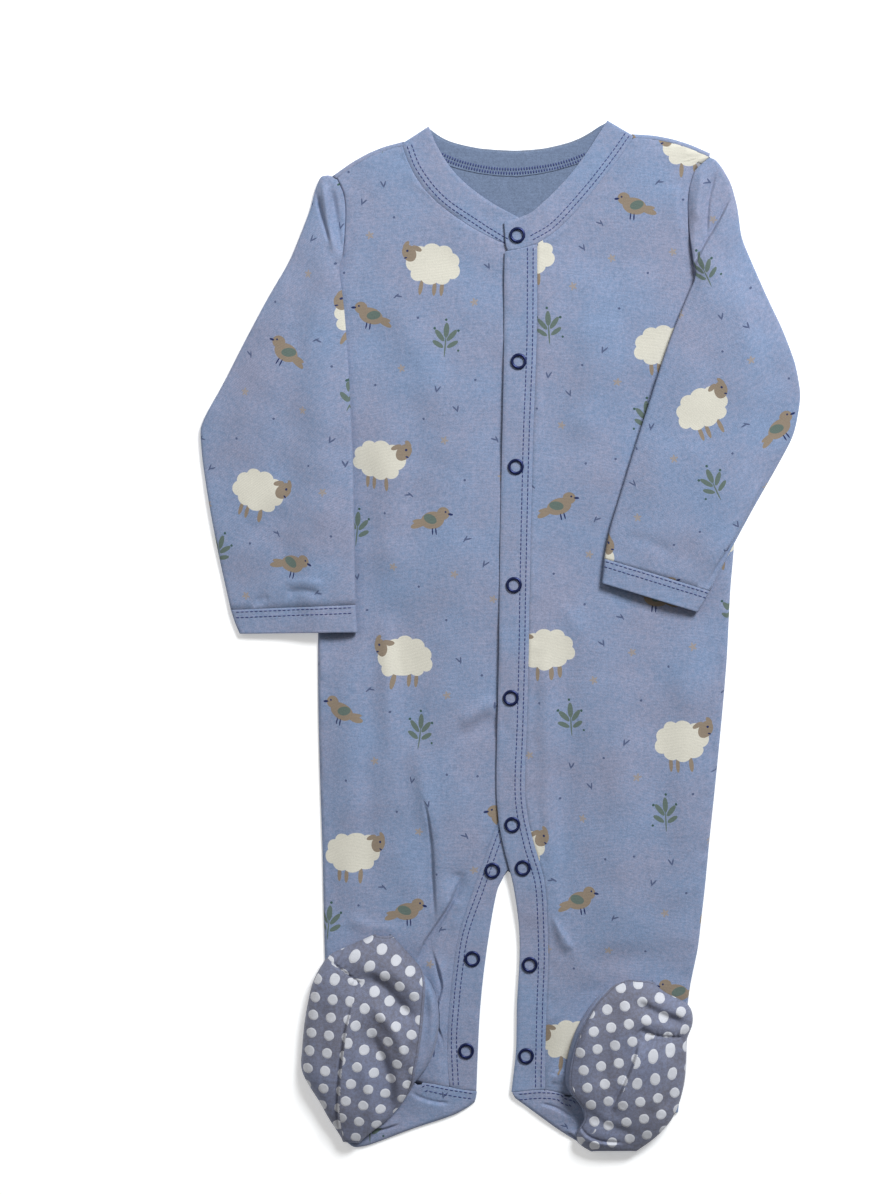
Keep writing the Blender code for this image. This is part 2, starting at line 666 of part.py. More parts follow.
def back_half(yoke, neck, body, leg, end, columns):
    """Plan rows of half the back, from its side to the centre or to the leg's open edge."""
    armhole, _, _ = yoke_lines(yoke)
    neck_seam = line(neck, "seam")
    neck_seam[0] += folded_row(neck_seam[0], line(neck, "edge")[0])
    neck_seam[:-1] = pulled(neck_seam[:-1], armhole[:-1], SEAM_SHARE)
    neck_seam[-1, 1] -= SEAM_SHARE
    outer = np.vstack((armhole, line(stacked("side_x side_y", body, leg), "side", 2)))
    centre = line(body, "centre", 2)
    open_edge = line(leg, "edge", 2)
    inner = np.vstack((neck_seam, centre, (centre[-1] + open_edge[0]) / 2, open_edge))
    inset = BACK_INSET * np.minimum(12 * side_roll(outer), 1.0) / slant(outer, inner)
    inset[: len(armhole)] = np.maximum(inset[: len(armhole)], ARMHOLE_GAP / 2)
    outer = outer + unit(inner - outer) * inset[:, None]
    split = len(neck_seam) + len(centre)
    inner[split:] = pulled(inner[split:], outer[split:], LEG_INSET)
    outer = np.vstack((outer, end[0]))
    inner = np.vstack((inner, end[1]))
    shares = np.broadcast_to(np.linspace(0, 1, columns + 1), (len(outer), columns + 1))
    return crown(across(outer, inner, shares), shares)


def shoulder_wrap(bm, row):
    """Carries the top of the back over the shoulder to the seam with the front."""
    xy = np.array([vert.co[:2] for vert in row])
    along = unit(xy[-1] - xy[0])
    out = np.array((-along[1], along[0]))
    out = out if out[1] > 0 else -out
    reach = SHOULDER_WRAP - FOLD_RADIUS
    turns = np.radians(FOLD_ANGLES[::-1])
    distances = np.append(reach + FOLD_RADIUS * np.cos(turns), SHOULDER_GAP)
    heights = np.append(FOLD_RADIUS * (1 + np.sin(turns)), FRONT_TOP)
    for distance, height in zip(distances, heights):
        new = [bm.verts.new((*(point + out * distance), height)) for point in xy]
        for a, b, c, d in zip(row, row[1:], new, new[1:]):
            bm.faces.new((a, b, d, c))
        row = new


def back_panel(columns):
    """The whole back as one sheet, with both legs, seen from inside through the neck."""
    bm = bmesh.new()
    halves = (
        (YOKE_RIGHT, BACK_NECK_RIGHT, BODY_RIGHT, LEG_RIGHT, np.array(BACK_END_RIGHT)),
        (YOKE_LEFT, BACK_NECK_LEFT, BODY_LEFT, LEG_LEFT, np.array(BACK_END_LEFT)),
    )
    for parts in halves:
        rows = add_grid(bm, raised(back_half(*parts, columns), 0.0))
        shoulder_wrap(bm, rows[0])
    bmesh.ops.remove_doubles(bm, verts=bm.verts, dist=0.01)
    turn_out(bm, -1)
    return thicken(finish_object("back_panel", bm, "jersey"), CLOTH)


# ---------------------------------------------------------------- bands


def fold_rows(seam, edge, angles):
    """The neckband's turn over a shoulder, as rows of its outer face."""
    inward = folded_row(seam, edge)
    rows = []
    for angle in angles:
        turn = math.radians(angle)
        shift = inward * (1 - math.cos(turn))
        height = FOLD_RADIUS * (1 + math.sin(turn))
        rows.append((seam + shift, edge + shift, height))
    return rows


def neckband():
    """One strip: left front end, over the left shoulder, back neck, right shoulder, right end."""
    rows = []
    end_seam = line(NECK_END, "seam")
    end_edge = line(NECK_END, "edge")
    left_seam = line(YOKE_LEFT, "seam")
    left_edge = line(YOKE_LEFT, "edge")
    upper = list(zip(end_seam, end_edge)) + list(zip(left_seam[:0:-1], left_edge[:0:-1]))
    for seam, edge in upper:
        rows.append((seam, edge, None))
    rows += fold_rows(left_seam[0], left_edge[0], FOLD_ANGLES)
    back_left = list(zip(line(BACK_NECK_LEFT, "seam"), line(BACK_NECK_LEFT, "edge")))
    back_right = list(zip(line(BACK_NECK_RIGHT, "seam"), line(BACK_NECK_RIGHT, "edge")))
    for seam, edge in back_left[1:] + back_right[-2:0:-1]:
        rows.append((seam, edge, 0.0))
    rows += fold_rows(*back_right[0], FOLD_ANGLES[::-1])
    lower = list(zip(line(YOKE_RIGHT, "seam"), line(YOKE_RIGHT, "edge")))[1:]
    for seam, edge in lower:
        rows.append((seam, edge, None))
    shares = np.array((0.0, 0.5, 1.0))[:, None]
    grid = []
    for number, (seam, edge, height) in enumerate(rows):
        seam = pulled(seam, edge, SEAM_SHARE)
        points = seam + (edge - seam) * shares
        if height is None:
            height = FRONT_TOP + (lap_rise(points) if number < len(upper) else 0.0)
        grid.append(raised(points, height))
    bm = bmesh.new()
    add_grid(bm, grid)
    bmesh.ops.recalc_face_normals(bm, faces=bm.faces)
    bm.faces.ensure_lookup_table()
    if bm.faces[0].normal.z < 0:
        bmesh.ops.reverse_faces(bm, faces=bm.faces)
    return thicken(finish_object("neckband", bm, "jersey"), CLOTH)


def band(name, seam, edge, height, wall):
    """A doubled band between its seam and its free edge."""
    seam = pulled(seam, edge, SEAM_SHARE)
    xy = across(seam, edge, np.array((0.0, 0.5, 1.0)))
    bm = bmesh.new()
    add_grid(bm, raised(xy, height(xy)))
    turn_out(bm, 1)
    return thicken(finish_object(name, bm, "jersey"), wall)


def placket_height(xy):
    return FRONT_TOP + lap_rise(xy)


def plackets():
    """The front placket down to the left ankle, and the right leg's from under it."""
    whole = stacked("seam_x seam_y edge_x edge_y", PLACKET_TOP, BODY_LEFT, LEG_LEFT)
    band("placket_front", line(whole, "seam", 2), line(whole, "edge", 2), placket_height, BAND)
    seam = line(stacked("seam_x seam_y", BODY_RIGHT, LEG_RIGHT), "seam", 2)
    edge = line(stacked("edge_x edge_y", LEG_LAP, LEG_RIGHT), "edge", 2)
    band("placket_leg_right", seam[-len(edge) :], edge, lambda xy: FRONT_TOP, CLOTH)


def heel(name, rows):
    """Cloth round the end of the leg, level at the hem and rolled down at the outline."""
    upper = line(rows, "upper")
    lower = line(rows, "lower")
    xy = across(lower, upper, roll_shares(lower, upper, 1))
    bm = bmesh.new()
    add_grid(bm, raised(xy, rolled_down(np.full(xy.shape[:2], FRONT_TOP), 1.0)))
    turn_out(bm, 1)
    return thicken(finish_object(name, bm, "jersey"), CLOTH)


# ---------------------------------------------------------------- sleeves


def tube_loops(rows, folds, armhole, wall):
    """Loops round a flattened tube, that far inside its outer face: upper layer, then lower."""
    outer = line(rows, "outer")
    inner = line(rows, "inner")
    width = np.linalg.norm(inner - outer, axis=1)
    turn = np.radians(TUBE_CAP)
    loops = []
    for number, (start, end) in enumerate(zip(outer, inner)):
        joined = armhole is not None and number == 0
        edge = FRONT_TOP if joined else TUBE_EDGE
        radius = edge / 2
        near = 1 / slant(outer, inner)[number]
        far = 1 / slant(inner, outer)[number]
        places = np.linspace(radius * near, width[number] - radius * far, TUBE_COLUMNS)
        far_cap = places[-1] + (radius - wall) * far * np.cos(turn)
        near_cap = places[0] - (radius - wall) * near * np.cos(turn[::-1])
        share = np.concatenate((places, far_cap, places[::-1], near_cap)) / width[number]
        xy = start + (end - start) * share[:, None]
        if armhole is not None and number < len(ARMHOLE_FADE):
            xy = xy + ARMHOLE_FADE[number] * armhole_offset(armhole, share)
        middle = np.linspace(0, math.pi, TUBE_COLUMNS)
        bulge = rows["swell"][number] * np.clip(np.sin(middle), 0.0, 1.0) ** TUBE_PLUMP
        relief = fold_relief(xy[:TUBE_COLUMNS], folds) * rows["swell"][number] / SWELL_FULL
        upper = edge - wall + np.maximum(bulge + relief, 0.0)
        cap = radius + (radius - wall) * np.sin(turn)
        height = np.concatenate((upper, cap, np.full(TUBE_COLUMNS, wall), cap[::-1]))
        loops.append(raised(xy, ground(xy) + height))
    return loops


def armhole_offset(armhole, share):
    """How far the armhole seam departs from the straight line between its ends."""
    steps = np.linalg.norm(np.diff(armhole, axis=0), axis=1)
    along = np.concatenate(((0.0,), np.cumsum(steps))) / steps.sum()
    curve = np.column_stack([np.interp(share, along, armhole[:, axis]) for axis in (0, 1)])
    return curve - (armhole[0] + (armhole[-1] - armhole[0]) * share[:, None])


def tube(name, rows, folds, armhole=None):
    """A flattened tube of cloth, open at both ends."""
    bm = bmesh.new()
    outside = add_grid(bm, tube_loops(rows, folds, armhole, 0.0), around=True)
    inside = add_grid(bm, tube_loops(rows, folds, armhole, CLOTH), around=True)
    for end in (0, -1):
        around = outside[end] + outside[end][:1]
        within = inside[end] + inside[end][:1]
        for a, b, c, d in zip(around, around[1:], within, within[1:]):
            bm.faces.new((a, b, d, c))
    bmesh.ops.recalc_face_normals(bm, faces=bm.faces)
    finish_object(name, bm, "jersey")


def sleeve(side, rows, cuff_rows, folds, yoke, last):
    """A sleeve set just outside its armhole, and the cuff at its end."""
    armhole = line(yoke, "armhole")[:last]
    rows = {key: column.copy() for key, column in rows.items()}
    outwards = math.copysign(ARMHOLE_GAP / 2, rows["outer_x"][-1])
    rows["outer_x"][0] += outwards
    rows["inner_x"][0] += outwards
    tube(f"sleeve_{side}", rows, folds, armhole)
    seam = {key: column[-1:].copy() for key, column in rows.items()}
    for end in ("outer", "inner"):
        down = unit(line(cuff_rows, end)[-1] - line(rows, end)[-1])
        seam[f"{end}_x"] += SEAM * down[0]
        seam[f"{end}_y"] += SEAM * down[1]
    tube(f"cuff_{side}", stacked(SLEEVE_COLUMNS, seam, cuff_rows), folds)


# ---------------------------------------------------------------- feet


def inset_outline(left, right, amounts):
    """Both sides of an outline moved in, each point square to the line through its neighbours."""
    loop = np.vstack((left, right[::-1]))
    tangent = unit(np.roll(loop, -1, axis=0) - np.roll(loop, 1, axis=0))
    inward = np.column_stack((-tangent[:, 1], tangent[:, 0]))
    loop = loop + inward * amounts[:, None]
    return loop[: len(left)], loop[len(left) :][::-1]


def dome(shares):
    """Rounded section: 0 at both edges, 1 along the middle."""
    return (1 - abs(2 * shares - 1) ** FOOT_FULLNESS) ** (1 / FOOT_FULLNESS)


def foot_surface(rows, left, right, shares, folds):
    """Points of the foot's rounded top at the shares given, and their height over the floor."""
    xy = across(left, right, shares)
    floor = ground(xy)
    round_up = dome(shares)
    crown_height = np.maximum(rows["crown"][:, None] + fold_relief(xy, folds), 0.5)
    level = floor * (1 - round_up) + REST_TOP * round_up
    return raised(xy, level + FOOT_RIM + crown_height * round_up), raised(xy, floor)


def foot(side, rows, folds, plain_on_right):
    """The folded upper as one rounded solid, and the sole that lies on it."""
    rows = dict(zip(rows, spline(np.column_stack(list(rows.values())), 2).T))
    left = np.column_stack((rows["left"], rows["y"]))
    right = np.column_stack((rows["right"], rows["y"]))
    bare = smooth(rows["plain"] / 3.0)
    inset_left = SOLE_INSET * (1 - bare * (not plain_on_right))
    inset_right = SOLE_INSET * (1 - bare * plain_on_right)
    left, right = inset_outline(left, right, np.concatenate((inset_left, inset_right[::-1])))
    shares = (1 - np.cos(np.linspace(0, math.pi, FOOT_COLUMNS + 1)))[None, :] / 2
    top, floor = foot_surface(rows, left, right, shares, folds)
    bm = bmesh.new()
    top_rows = add_grid(bm, top)
    floor_rows = add_grid(bm, floor[:, ::2])
    for upper, lower in ((top_rows[0], floor_rows[0]), (top_rows[-1], floor_rows[-1])):
        for number, (a, b) in enumerate(zip(lower, lower[1:])):
            bm.faces.new((a, b, *upper[2 * number : 2 * number + 3][::-1]))
    for edge in (0, -1):
        upper = [row[edge] for row in top_rows]
        lower = [row[edge] for row in floor_rows]
        for a, b, c, d in zip(upper, upper[1:], lower, lower[1:]):
            bm.faces.new((a, b, d, c))
    bmesh.ops.recalc_face_normals(bm, faces=bm.faces)
    finish_object(f"foot_{side}", bm, "jersey")

    plain = np.maximum(rows["plain"], 0.0)[:, None] / (rows["right"] - rows["left"])[:, None]
    cover = shares * (1 - plain) + (0 if plain_on_right else plain)
    top, _ = foot_surface(rows, left, right, cover, folds)
    bm = bmesh.new()
    add_grid(bm, top)
    turn_out(bm, 1)
    bm.normal_update()
    moved = [vert.co + vert.normal * (SOLE_GAP + CLOTH) for vert in bm.verts]
    for vert, place in zip(bm.verts, moved):
        vert.co = place
    thicken(finish_object(f"sole_{side}", bm, "sole_cloth"), CLOTH)


# ---------------------------------------------------------------- snaps


def ring_snap(number, centre, top):
    """An open metal ring that lies on the cloth, rounded above and below."""
    bm = bmesh.new()
    made = bmesh.ops.create_circle(bm, segments=RING_SIDES, radius=1.0)
    profile = made["verts"]
    bmesh.ops.rotate(bm, verts=profile, cent=(0, 0, 0), matrix=Matrix.Rotation(math.pi / 2, 3, "X"))
    bmesh.ops.scale(bm, verts=profile, vec=(RING_WIDTH, 1.0, RING_HEIGHT))
    bmesh.ops.translate(bm, verts=profile, vec=(RING_RADIUS, 0, 0))
    bmesh.ops.spin(
        bm,
        geom=bm.verts[:] + bm.edges[:],
        cent=(0, 0, 0),
        axis=(0, 0, 1),
        angle=2 * math.pi,
        steps=RING_STEPS,
        use_merge=True,
    )
    bmesh.ops.recalc_face_normals(bm, faces=bm.faces)
    if bm.calc_volume(signed=True) < 0:
        bmesh.ops.reverse_faces(bm, faces=bm.faces)
    bmesh.ops.translate(bm, verts=bm.verts, vec=(*centre, top + SEAM + RING_HEIGHT))
    finish_object(f"snap_{number:02d}", bm, "snap_metal")


def snaps():
    """Rings on the neckband, the front placket and both legs, from the neck down."""
    lapped = (NECK_RING,) + FRONT_RINGS + LEFT_LEG_RINGS
    places = [(centre, float(placket_height(np.array(centre)))) for centre in lapped]
    places += [(centre, FRONT_TOP) for centre in RIGHT_LEG_RINGS]
    for number, (centre, top) in enumerate(places, 1):
        ring_snap(number, centre, top)


def level(xy):
    return np.zeros(xy.shape[:-1])


def main():
    for obj in list(bpy.data.objects):
        bpy.data.objects.remove(obj, do_unlink=True)
    back_panel(4)
    front("front_right", YOKE_RIGHT, BODY_RIGHT, LEG_RIGHT, 8, level)
    front("front_left", YOKE_LEFT, BODY_LEFT, LEG_LEFT, 8, lap_rise)
    neckband()
    plackets()
    heel("heel_right", HEEL_RIGHT)
    heel("heel_left", HEEL_LEFT)
    sleeve("right", SLEEVE_RIGHT, CUFF_RIGHT, SLEEVE_RIGHT_FOLDS, YOKE_RIGHT, 7)
    sleeve("left", SLEEVE_LEFT, CUFF_LEFT, SLEEVE_LEFT_FOLDS, YOKE_LEFT, 8)
    foot("right", FOOT_RIGHT, FOOT_RIGHT_FOLDS, True)
    foot("left", FOOT_LEFT, FOOT_LEFT_FOLDS, False)
    snaps()


main()
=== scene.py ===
"""Dresses a footed baby sleepsuit that lies flat on its back, as an add-on that runs as a script.

The suit's tables are in millimetres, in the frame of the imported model: +X is the wearer's left,
+Y runs up to the neck and +Z is up from the surface that it lies on.
"""

import math

import bmesh
import bpy
import numpy as np
from mathutils import Matrix, Vector
from mathutils.bvhtree import BVHTree
from mathutils.kdtree import KDTree


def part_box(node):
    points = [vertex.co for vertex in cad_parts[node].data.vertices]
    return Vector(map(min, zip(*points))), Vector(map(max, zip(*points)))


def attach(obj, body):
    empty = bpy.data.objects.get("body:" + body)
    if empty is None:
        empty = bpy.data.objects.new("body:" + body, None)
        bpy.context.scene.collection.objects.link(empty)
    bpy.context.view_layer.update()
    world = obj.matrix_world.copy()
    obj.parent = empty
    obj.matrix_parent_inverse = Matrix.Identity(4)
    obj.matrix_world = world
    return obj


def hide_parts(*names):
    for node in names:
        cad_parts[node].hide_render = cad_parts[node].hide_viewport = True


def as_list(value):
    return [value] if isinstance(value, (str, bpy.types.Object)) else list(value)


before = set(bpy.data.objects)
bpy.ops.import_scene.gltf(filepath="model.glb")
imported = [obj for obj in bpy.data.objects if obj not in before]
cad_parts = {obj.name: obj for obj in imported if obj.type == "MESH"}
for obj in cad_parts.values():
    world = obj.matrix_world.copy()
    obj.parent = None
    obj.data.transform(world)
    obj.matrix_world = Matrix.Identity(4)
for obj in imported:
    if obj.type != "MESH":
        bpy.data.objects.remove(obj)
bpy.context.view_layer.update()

bl_info = {
    "name": "Baby Sleepsuit",
    "version": (1, 0, 0),
    "blender": (4, 5, 0),
    "location": "View3D > Sidebar > Sleepsuit",
    "description": "Printed jersey, creases, stitching, soles and ring snaps of a sleepsuit laid flat",
    "category": "Object",
}

MM = 0.001
UP = Vector((0, 0, 1))


# ---------------------------------------------------------------- creases

# Each crease: half width on its left, half width on its right, height, then the line it follows.
# A narrow side is the steep edge of a fold, and a wide one rolls away softly.
FRONT_RIGHT_CREASES = (
    (9, 9, -1.4, (-62.5, 34), (-61.7, 1), (-58.6, -47), (-51, -84)),
    (9, 6, 1.7, (-57, -58), (-51.5, -84), (-46.2, -110), (-42.5, -126)),
    (8, 1.3, 1.5, (-47.5, -96), (-44.8, -105), (-42.7, -117), (-41.2, -131), (-40.4, -148), (-39.1, -176)),
    (0.9, 11, 3.2, (-25, -146), (-31.3, -162), (-42.2, -179), (-48.4, -188.5), (-54, -203)),
    (3.5, 4.5, -1.4, (-24.5, -143), (-26, -153), (-30, -164)),
    (1.3, 1.3, -1.5, (-25.5, -150), (-31.5, -165.5), (-41.5, -182), (-48, -192), (-53, -204)),
    (3.5, 3.5, -1.4, (-51, -199), (-45.5, -212), (-45, -230), (-43, -248)),
    (6, 0.9, 2.1, (-42, -190), (-35.3, -214), (-38, -227), (-37.6, -240), (-34.1, -250), (-31.4, -270)),
    (5.5, 6, 1.9, (-71, 20), (-69.8, -30), (-69.4, -72)),
    (5, 6, -0.9, (-81.8, -68), (-81, -112), (-82.4, -164)),
    (10, 12, 1.3, (-92, 10), (-90, -60), (-94, -140)),
    (10, 14, -0.8, (-52, 124), (-56, 80), (-58, 44)),
    (14, 10, 1.3, (-75, 150), (-72, 80), (-70, 30)),
    (4, 9, -1.2, (-60, -58), (-55.5, -84), (-50, -110), (-46, -124), (-44.5, -131), (-43, -174)),
    (4.5, 6, 1.9, (-27, -53), (-14, -45), (-2, -38)),
    (4, 5, -1.2, (-28, -63), (-15, -54), (-4, -48)),
    (12, 12, 1.2, (-62, 196), (-44, 160), (-32, 124)),
    (12, 16, -0.7, (-82, 200), (-64, 168), (-52, 130)),
    (3, 5, 1.2, (-96, -172), (-80, -178), (-62, -180)),
    (7, 8, -0.8, (-104, 60), (-99, 30), (-100, -20)),
)
FRONT_LEFT_CREASES = (
    (7, 7, -1.2, (39, 26), (41, -60), (40, -120), (40, -180)),
    (4.5, 5, 1.4, (27.6, 0), (28.6, -80), (31, -160)),
    (2, 5, 1.6, (28.5, -169), (36, -180), (45, -194)),
    (4, 4, -0.8, (25, -176), (33, -187), (40, -200)),
    (5, 6, -1.1, (30, -250), (36, -258), (42, -264)),
    (4.5, 5.5, -1.4, (63, -209), (52.4, -222), (43.5, -236.5), (39.5, -252), (39, -266)),
    (0.9, 5, 1.6, (30, -275), (34, -270), (40, -266)),
    (1, 6, 1.4, (110.5, 282), (109.7, 267), (112.3, 257.6), (116, 252.5)),
    (14, 16, 1.4, (76, -56), (76, -120), (72, -184)),
    (12, 14, -0.9, (100, 16), (98, -60), (95, -122)),
    (9, 10, 1.3, (118, 10), (114, -60), (112, -130)),
    (14, 18, 1.1, (62, 204), (56, 160), (48, 118)),
    (12, 14, -0.7, (40, 196), (38, 150), (40, 100)),
    (8, 10, -0.7, (96, -196), (70, -200), (52, -206)),
    (4, 5, 0.8, (34, 20), (44, 12), (52, 0)),
)
BACK_CREASES = (
    (9, 12, 0.8, (-60, 150), (-54, 60), (-58, -20)),
    (8, 10, 0.7, (78, 170), (62, 80), (66, 4)),
    (6, 9, 0.8, (-80, -60), (-78, -120), (-70, -210)),
    (7, 9, 0.7, (74, -60), (66, -130), (70, -206)),
    (5, 8, 0.6, (-24, 44), (14, 22), (52, 34)),
    (4, 7, 0.6, (-42, -40), (-10, -62), (22, -50)),
    (7, 9, 0.6, (-34, 236), (0, 204), (34, 220)),
)
SLEEVE_RIGHT_CREASES = (
    (2.4, 2.4, -2.2, (-105.1, 280), (-102, 261), (-97.7, 236)),
    (2.6, 2.6, 2.2, (-110.4, 284), (-107.3, 261), (-102, 236)),
    (1.2, 1.2, -1.8, (-114, 275), (-110.7, 261), (-105.6, 243)),
    (5, 7, -1.1, (-157, 63), (-144, 72), (-132, 80)),
    (6, 8, 1.1, (-160, 76), (-146, 86), (-133, 95)),
    (1.6, 3, -1, (-133, 28.6), (-122, 29.6), (-110, 27.6)),
    (2.5, 3, 0.9, (-134, 34), (-122, 35), (-109, 33)),
    (1.6, 2.4, -0.8, (-152, 23.4), (-148, 24.6), (-143, 25.4)),
    (14, 10, 1.4, (-126, 236), (-148, 172), (-163, 122)),
    (10, 12, -1, (-112, 204), (-124, 156), (-131, 112)),
    (10, 12, 1.1, (-112, 150), (-112, 100), (-108, 60)),
)
SLEEVE_LEFT_CREASES = (
    (12, 0.9, 3, (144, 274), (134, 255), (126.8, 243), (117, 224)),
    (0.9, 1.4, -1.8, (133.4, 290), (129.3, 274), (127.8, 261.5), (127.3, 248)),
    (2.5, 3, 1.6, (125.5, 287), (122, 271), (121, 256)),
    (1, 9, 1.4, (163, 101), (149.1, 72), (133.6, 47.4), (125.6, 33.5)),
    (14, 12, 1.4, (152, 240), (160, 180), (158, 132)),
    (12, 12, -0.9, (128, 204), (130, 152), (122, 110)),
    (8, 10, 0.9, (102, 130), (93, 92), (85, 68)),
    (3, 4, -0.8, (76, 64), (92, 60), (106, 52)),
    (5, 8, -0.8, (178, 170), (166, 158), (150, 154)),
)
FOOT_RIGHT_CREASES = (
    (3.5, 4, -1.8, (-50.5, -205), (-46, -232), (-48, -262)),
    (3, 3, 1.3, (-44, -208), (-41.5, -236), (-43, -262)),
    (1.2, 4, 1.2, (-60, -290), (-52, -280), (-46, -268)),
    (1.2, 5, 0.8, (-113, -283), (-104, -294), (-99, -302)),
)
FOOT_LEFT_CREASES = (
    (1, 4, -0.9, (44, -262), (46, -280), (52, -294)),
    (3, 4, 0.7, (112, -262), (108, -284), (98, -300)),
)
SOLE_RIGHT_CREASES = (
    (
        9, 0.8, 3.4,
        (-90.5, -221), (-92.6, -231), (-94.9, -241), (-97.5, -262), (-99, -278), (-99.3, -293), (-97.5, -307),
    ),
    (3.5, 4.5, -3.8, (-85, -207), (-72, -214), (-62.5, -225), (-52, -236)),
    (4, 4, 1.9, (-70, -200), (-60, -210), (-52, -222)),
    (3.5, 5.5, -4, (-83, -240), (-75, -254), (-69.8, -267), (-68, -281), (-69.4, -297)),
    (4, 5, 2.6, (-82, -221), (-70, -234), (-61, -250), (-58, -268)),
    (4.5, 5, 1.9, (-87, -252), (-80, -280), (-80, -300)),
    (2.5, 3, -1.8, (-54, -246), (-58, -262), (-56, -282)),
    (5, 5, -1.4, (-108, -222), (-110, -250), (-108, -272)),
)
SOLE_LEFT_CREASES = (
    (7, 0.9, 3.1, (86, -246), (81.5, -261), (76, -274), (71, -285), (67, -290.5)),
    (3.2, 3.8, -3.8, (82, -224), (97, -231), (114, -238)),
    (2.4, 2.4, -2.1, (85.5, -239), (88, -241.5), (92, -243.5)),
    (4.5, 6, -2.6, (74, -222), (66, -246), (60, -278)),
    (4, 5, 2.1, (62, -214), (53, -236), (49, -262)),
    (4, 5, 1.9, (102, -252), (99, -272), (92, -292)),
    (3.5, 4.5, -2.1, (112, -252), (107, -272), (98, -292)),
    (3, 4, -1.7, (52, -290), (64, -299), (82, -305)),
    (1, 3, 1.4, (46, -297), (51, -306), (62, -311), (76, -312)),
)
HEEL_CREASES = (
    (0.9, 6, 1, (-57, -282), (-49, -286), (-40, -288.5), (-31, -289)),
    (5, 0.9, 0.9, (-88, -300), (-76, -303), (-62, -299)),
    (0.9, 5, 0.9, (24, -289), (34, -292), (44, -298)),
    (4, 0.9, 0.8, (40, -304), (50, -309), (58, -311)),
)
# A gathering seam in each sole.
SOLE_RIGHT_GATHER = ((-104.5, -199.2), (-97.7, -204.3), (-91.5, -208.6), (-86.1, -212.8))
SOLE_LEFT_GATHER = ((89.6, -242.7), (97, -244.2), (104, -245), (112.5, -245.4))

DYING = 0.22  # share of a crease's length over which each end dies out
LEAST = 0.15  # share of its height that is left at its end
UNEVEN = 0.3  # share by which its height wanders
UNEVEN_PITCH = 18.0
STEEP = 1.5  # a side narrower than this is the edge of a fold, with a groove at its foot
GROOVE = 1.0
GROOVE_AT = 1.5
GROOVE_WIDTH = 0.9


def smooth(t):
    """0 to 1 with level ends."""
    t = np.clip(t, 0.0, 1.0)
    return t * t * (3 - 2 * t)


def faded(reached, length, end):
    """1 along a line and 0 at its ends."""
    return smooth(reached / end) * smooth((length - reached) / end)


def lengths_along(line):
    """How far along a line each of its points is."""
    return np.concatenate(((0.0,), np.cumsum(np.linalg.norm(np.diff(line, axis=0), axis=1))))


def curved(points, step=3.0):
    """A smooth line through points, in even steps."""
    points = np.array(points, float)
    ends = np.vstack((2 * points[0] - points[1], points, 2 * points[-1] - points[-2]))
    t = np.linspace(0.0, 1.0, 12, endpoint=False)[:, None]
    spans = [
        0.5 * (2 * b + (c - a) * t + (2 * a - 5 * b + 4 * c - d) * t**2 + (3 * b - a - 3 * c + d) * t**3)
        for a, b, c, d in zip(ends, ends[1:], ends[2:], ends[3:])
    ]
    line = np.vstack((*spans, points[-1:]))
    length = lengths_along(line)
    marks = np.linspace(0.0, length[-1], max(2, round(length[-1] / step) + 1))
    return np.column_stack([np.interp(marks, length, line[:, axis]) for axis in (0, 1)])


def nearest_on(xy, line):
    """For each point, its distance to a line, the side it is on and how far along the line it is."""
    line = np.array(line, float)
    steps = np.linalg.norm(np.diff(line, axis=0), axis=1)
    starts = lengths_along(line)
    away = np.full(len(xy), np.inf)
    side = np.ones(len(xy))
    reached = np.zeros(len(xy))
    for a, b, step, start in zip(line, line[1:], steps, starts):
        along = (b - a) / step
        reach = np.clip((xy - a) @ along, 0.0, step)
        offset = xy - (a + reach[:, None] * along)
        distance = np.linalg.norm(offset, axis=1)
        closer = distance < away
        away = np.where(closer, distance, away)
        side = np.where(closer, np.sign(along[0] * offset[:, 1] - along[1] * offset[:, 0]), side)
        reached = np.where(closer, start + reach, reached)
    return away, side, reached, starts[-1]


def creased(xy, creases, seed):
    """Height of uneven ridges and troughs that die out at their ends."""
    height = np.zeros(len(xy))
    uneven = 1.0 + UNEVEN * waves(xy, UNEVEN_PITCH, seed)
    for left, right, rise, *points in creases:
        away, side, reached, length = nearest_on(xy, curved(points))
        width = np.where(side > 0, left, right)
        fade = faded(reached / length, 1.0, DYING)
        height += rise * uneven * (LEAST + (1 - LEAST) * fade) * np.exp(-((away / width) ** 2))
        if rise > 0 and min(left, right) < STEEP:
            beyond = away * np.where(left < right, side, -side)
            height -= GROOVE * fade * np.exp(-(((beyond - GROOVE_AT) / GROOVE_WIDTH) ** 2))
    return height


def gathered(xy, points, depth=1.3, ripple=0.5, pitch=3.3, end=3.0, groove_width=1.0, reach=4.0):
    """Height of a seam that draws the cloth in, with short ripples across it."""
    away, _, reached, length = nearest_on(xy, curved(points))
    fade = faded(reached, length, end)
    groove = -depth * fade * np.exp(-((away / groove_width) ** 2))
    rise = ripple * fade * np.sin(2 * np.pi * reached / pitch) * np.exp(-((away / reach) ** 2))
    return groove + rise * smooth(away / (1.2 * groove_width))


KNOTS = 64  # random heights along each side of the field of waves
FIELD_SHIFT = 200.0


def waves(xy, pitch, seed):
    """Slow uneven rise and fall, from -1 to 1."""
    knots = np.random.RandomState(int(seed * 10)).uniform(-1.0, 1.0, (KNOTS, KNOTS))
    place = xy / pitch + FIELD_SHIFT
    cell = np.floor(place).astype(int)
    part = smooth(place - cell)
    corner = [
        [knots[(cell[:, 0] + i) % KNOTS, (cell[:, 1] + j) % KNOTS] for j in (0, 1)] for i in (0, 1)
    ]
    low = corner[0][0] + (corner[1][0] - corner[0][0]) * part[:, 0]
    high = corner[0][1] + (corner[1][1] - corner[0][1]) * part[:, 0]
    return low + (high - low) * part[:, 1]


# ---------------------------------------------------------------- meshes

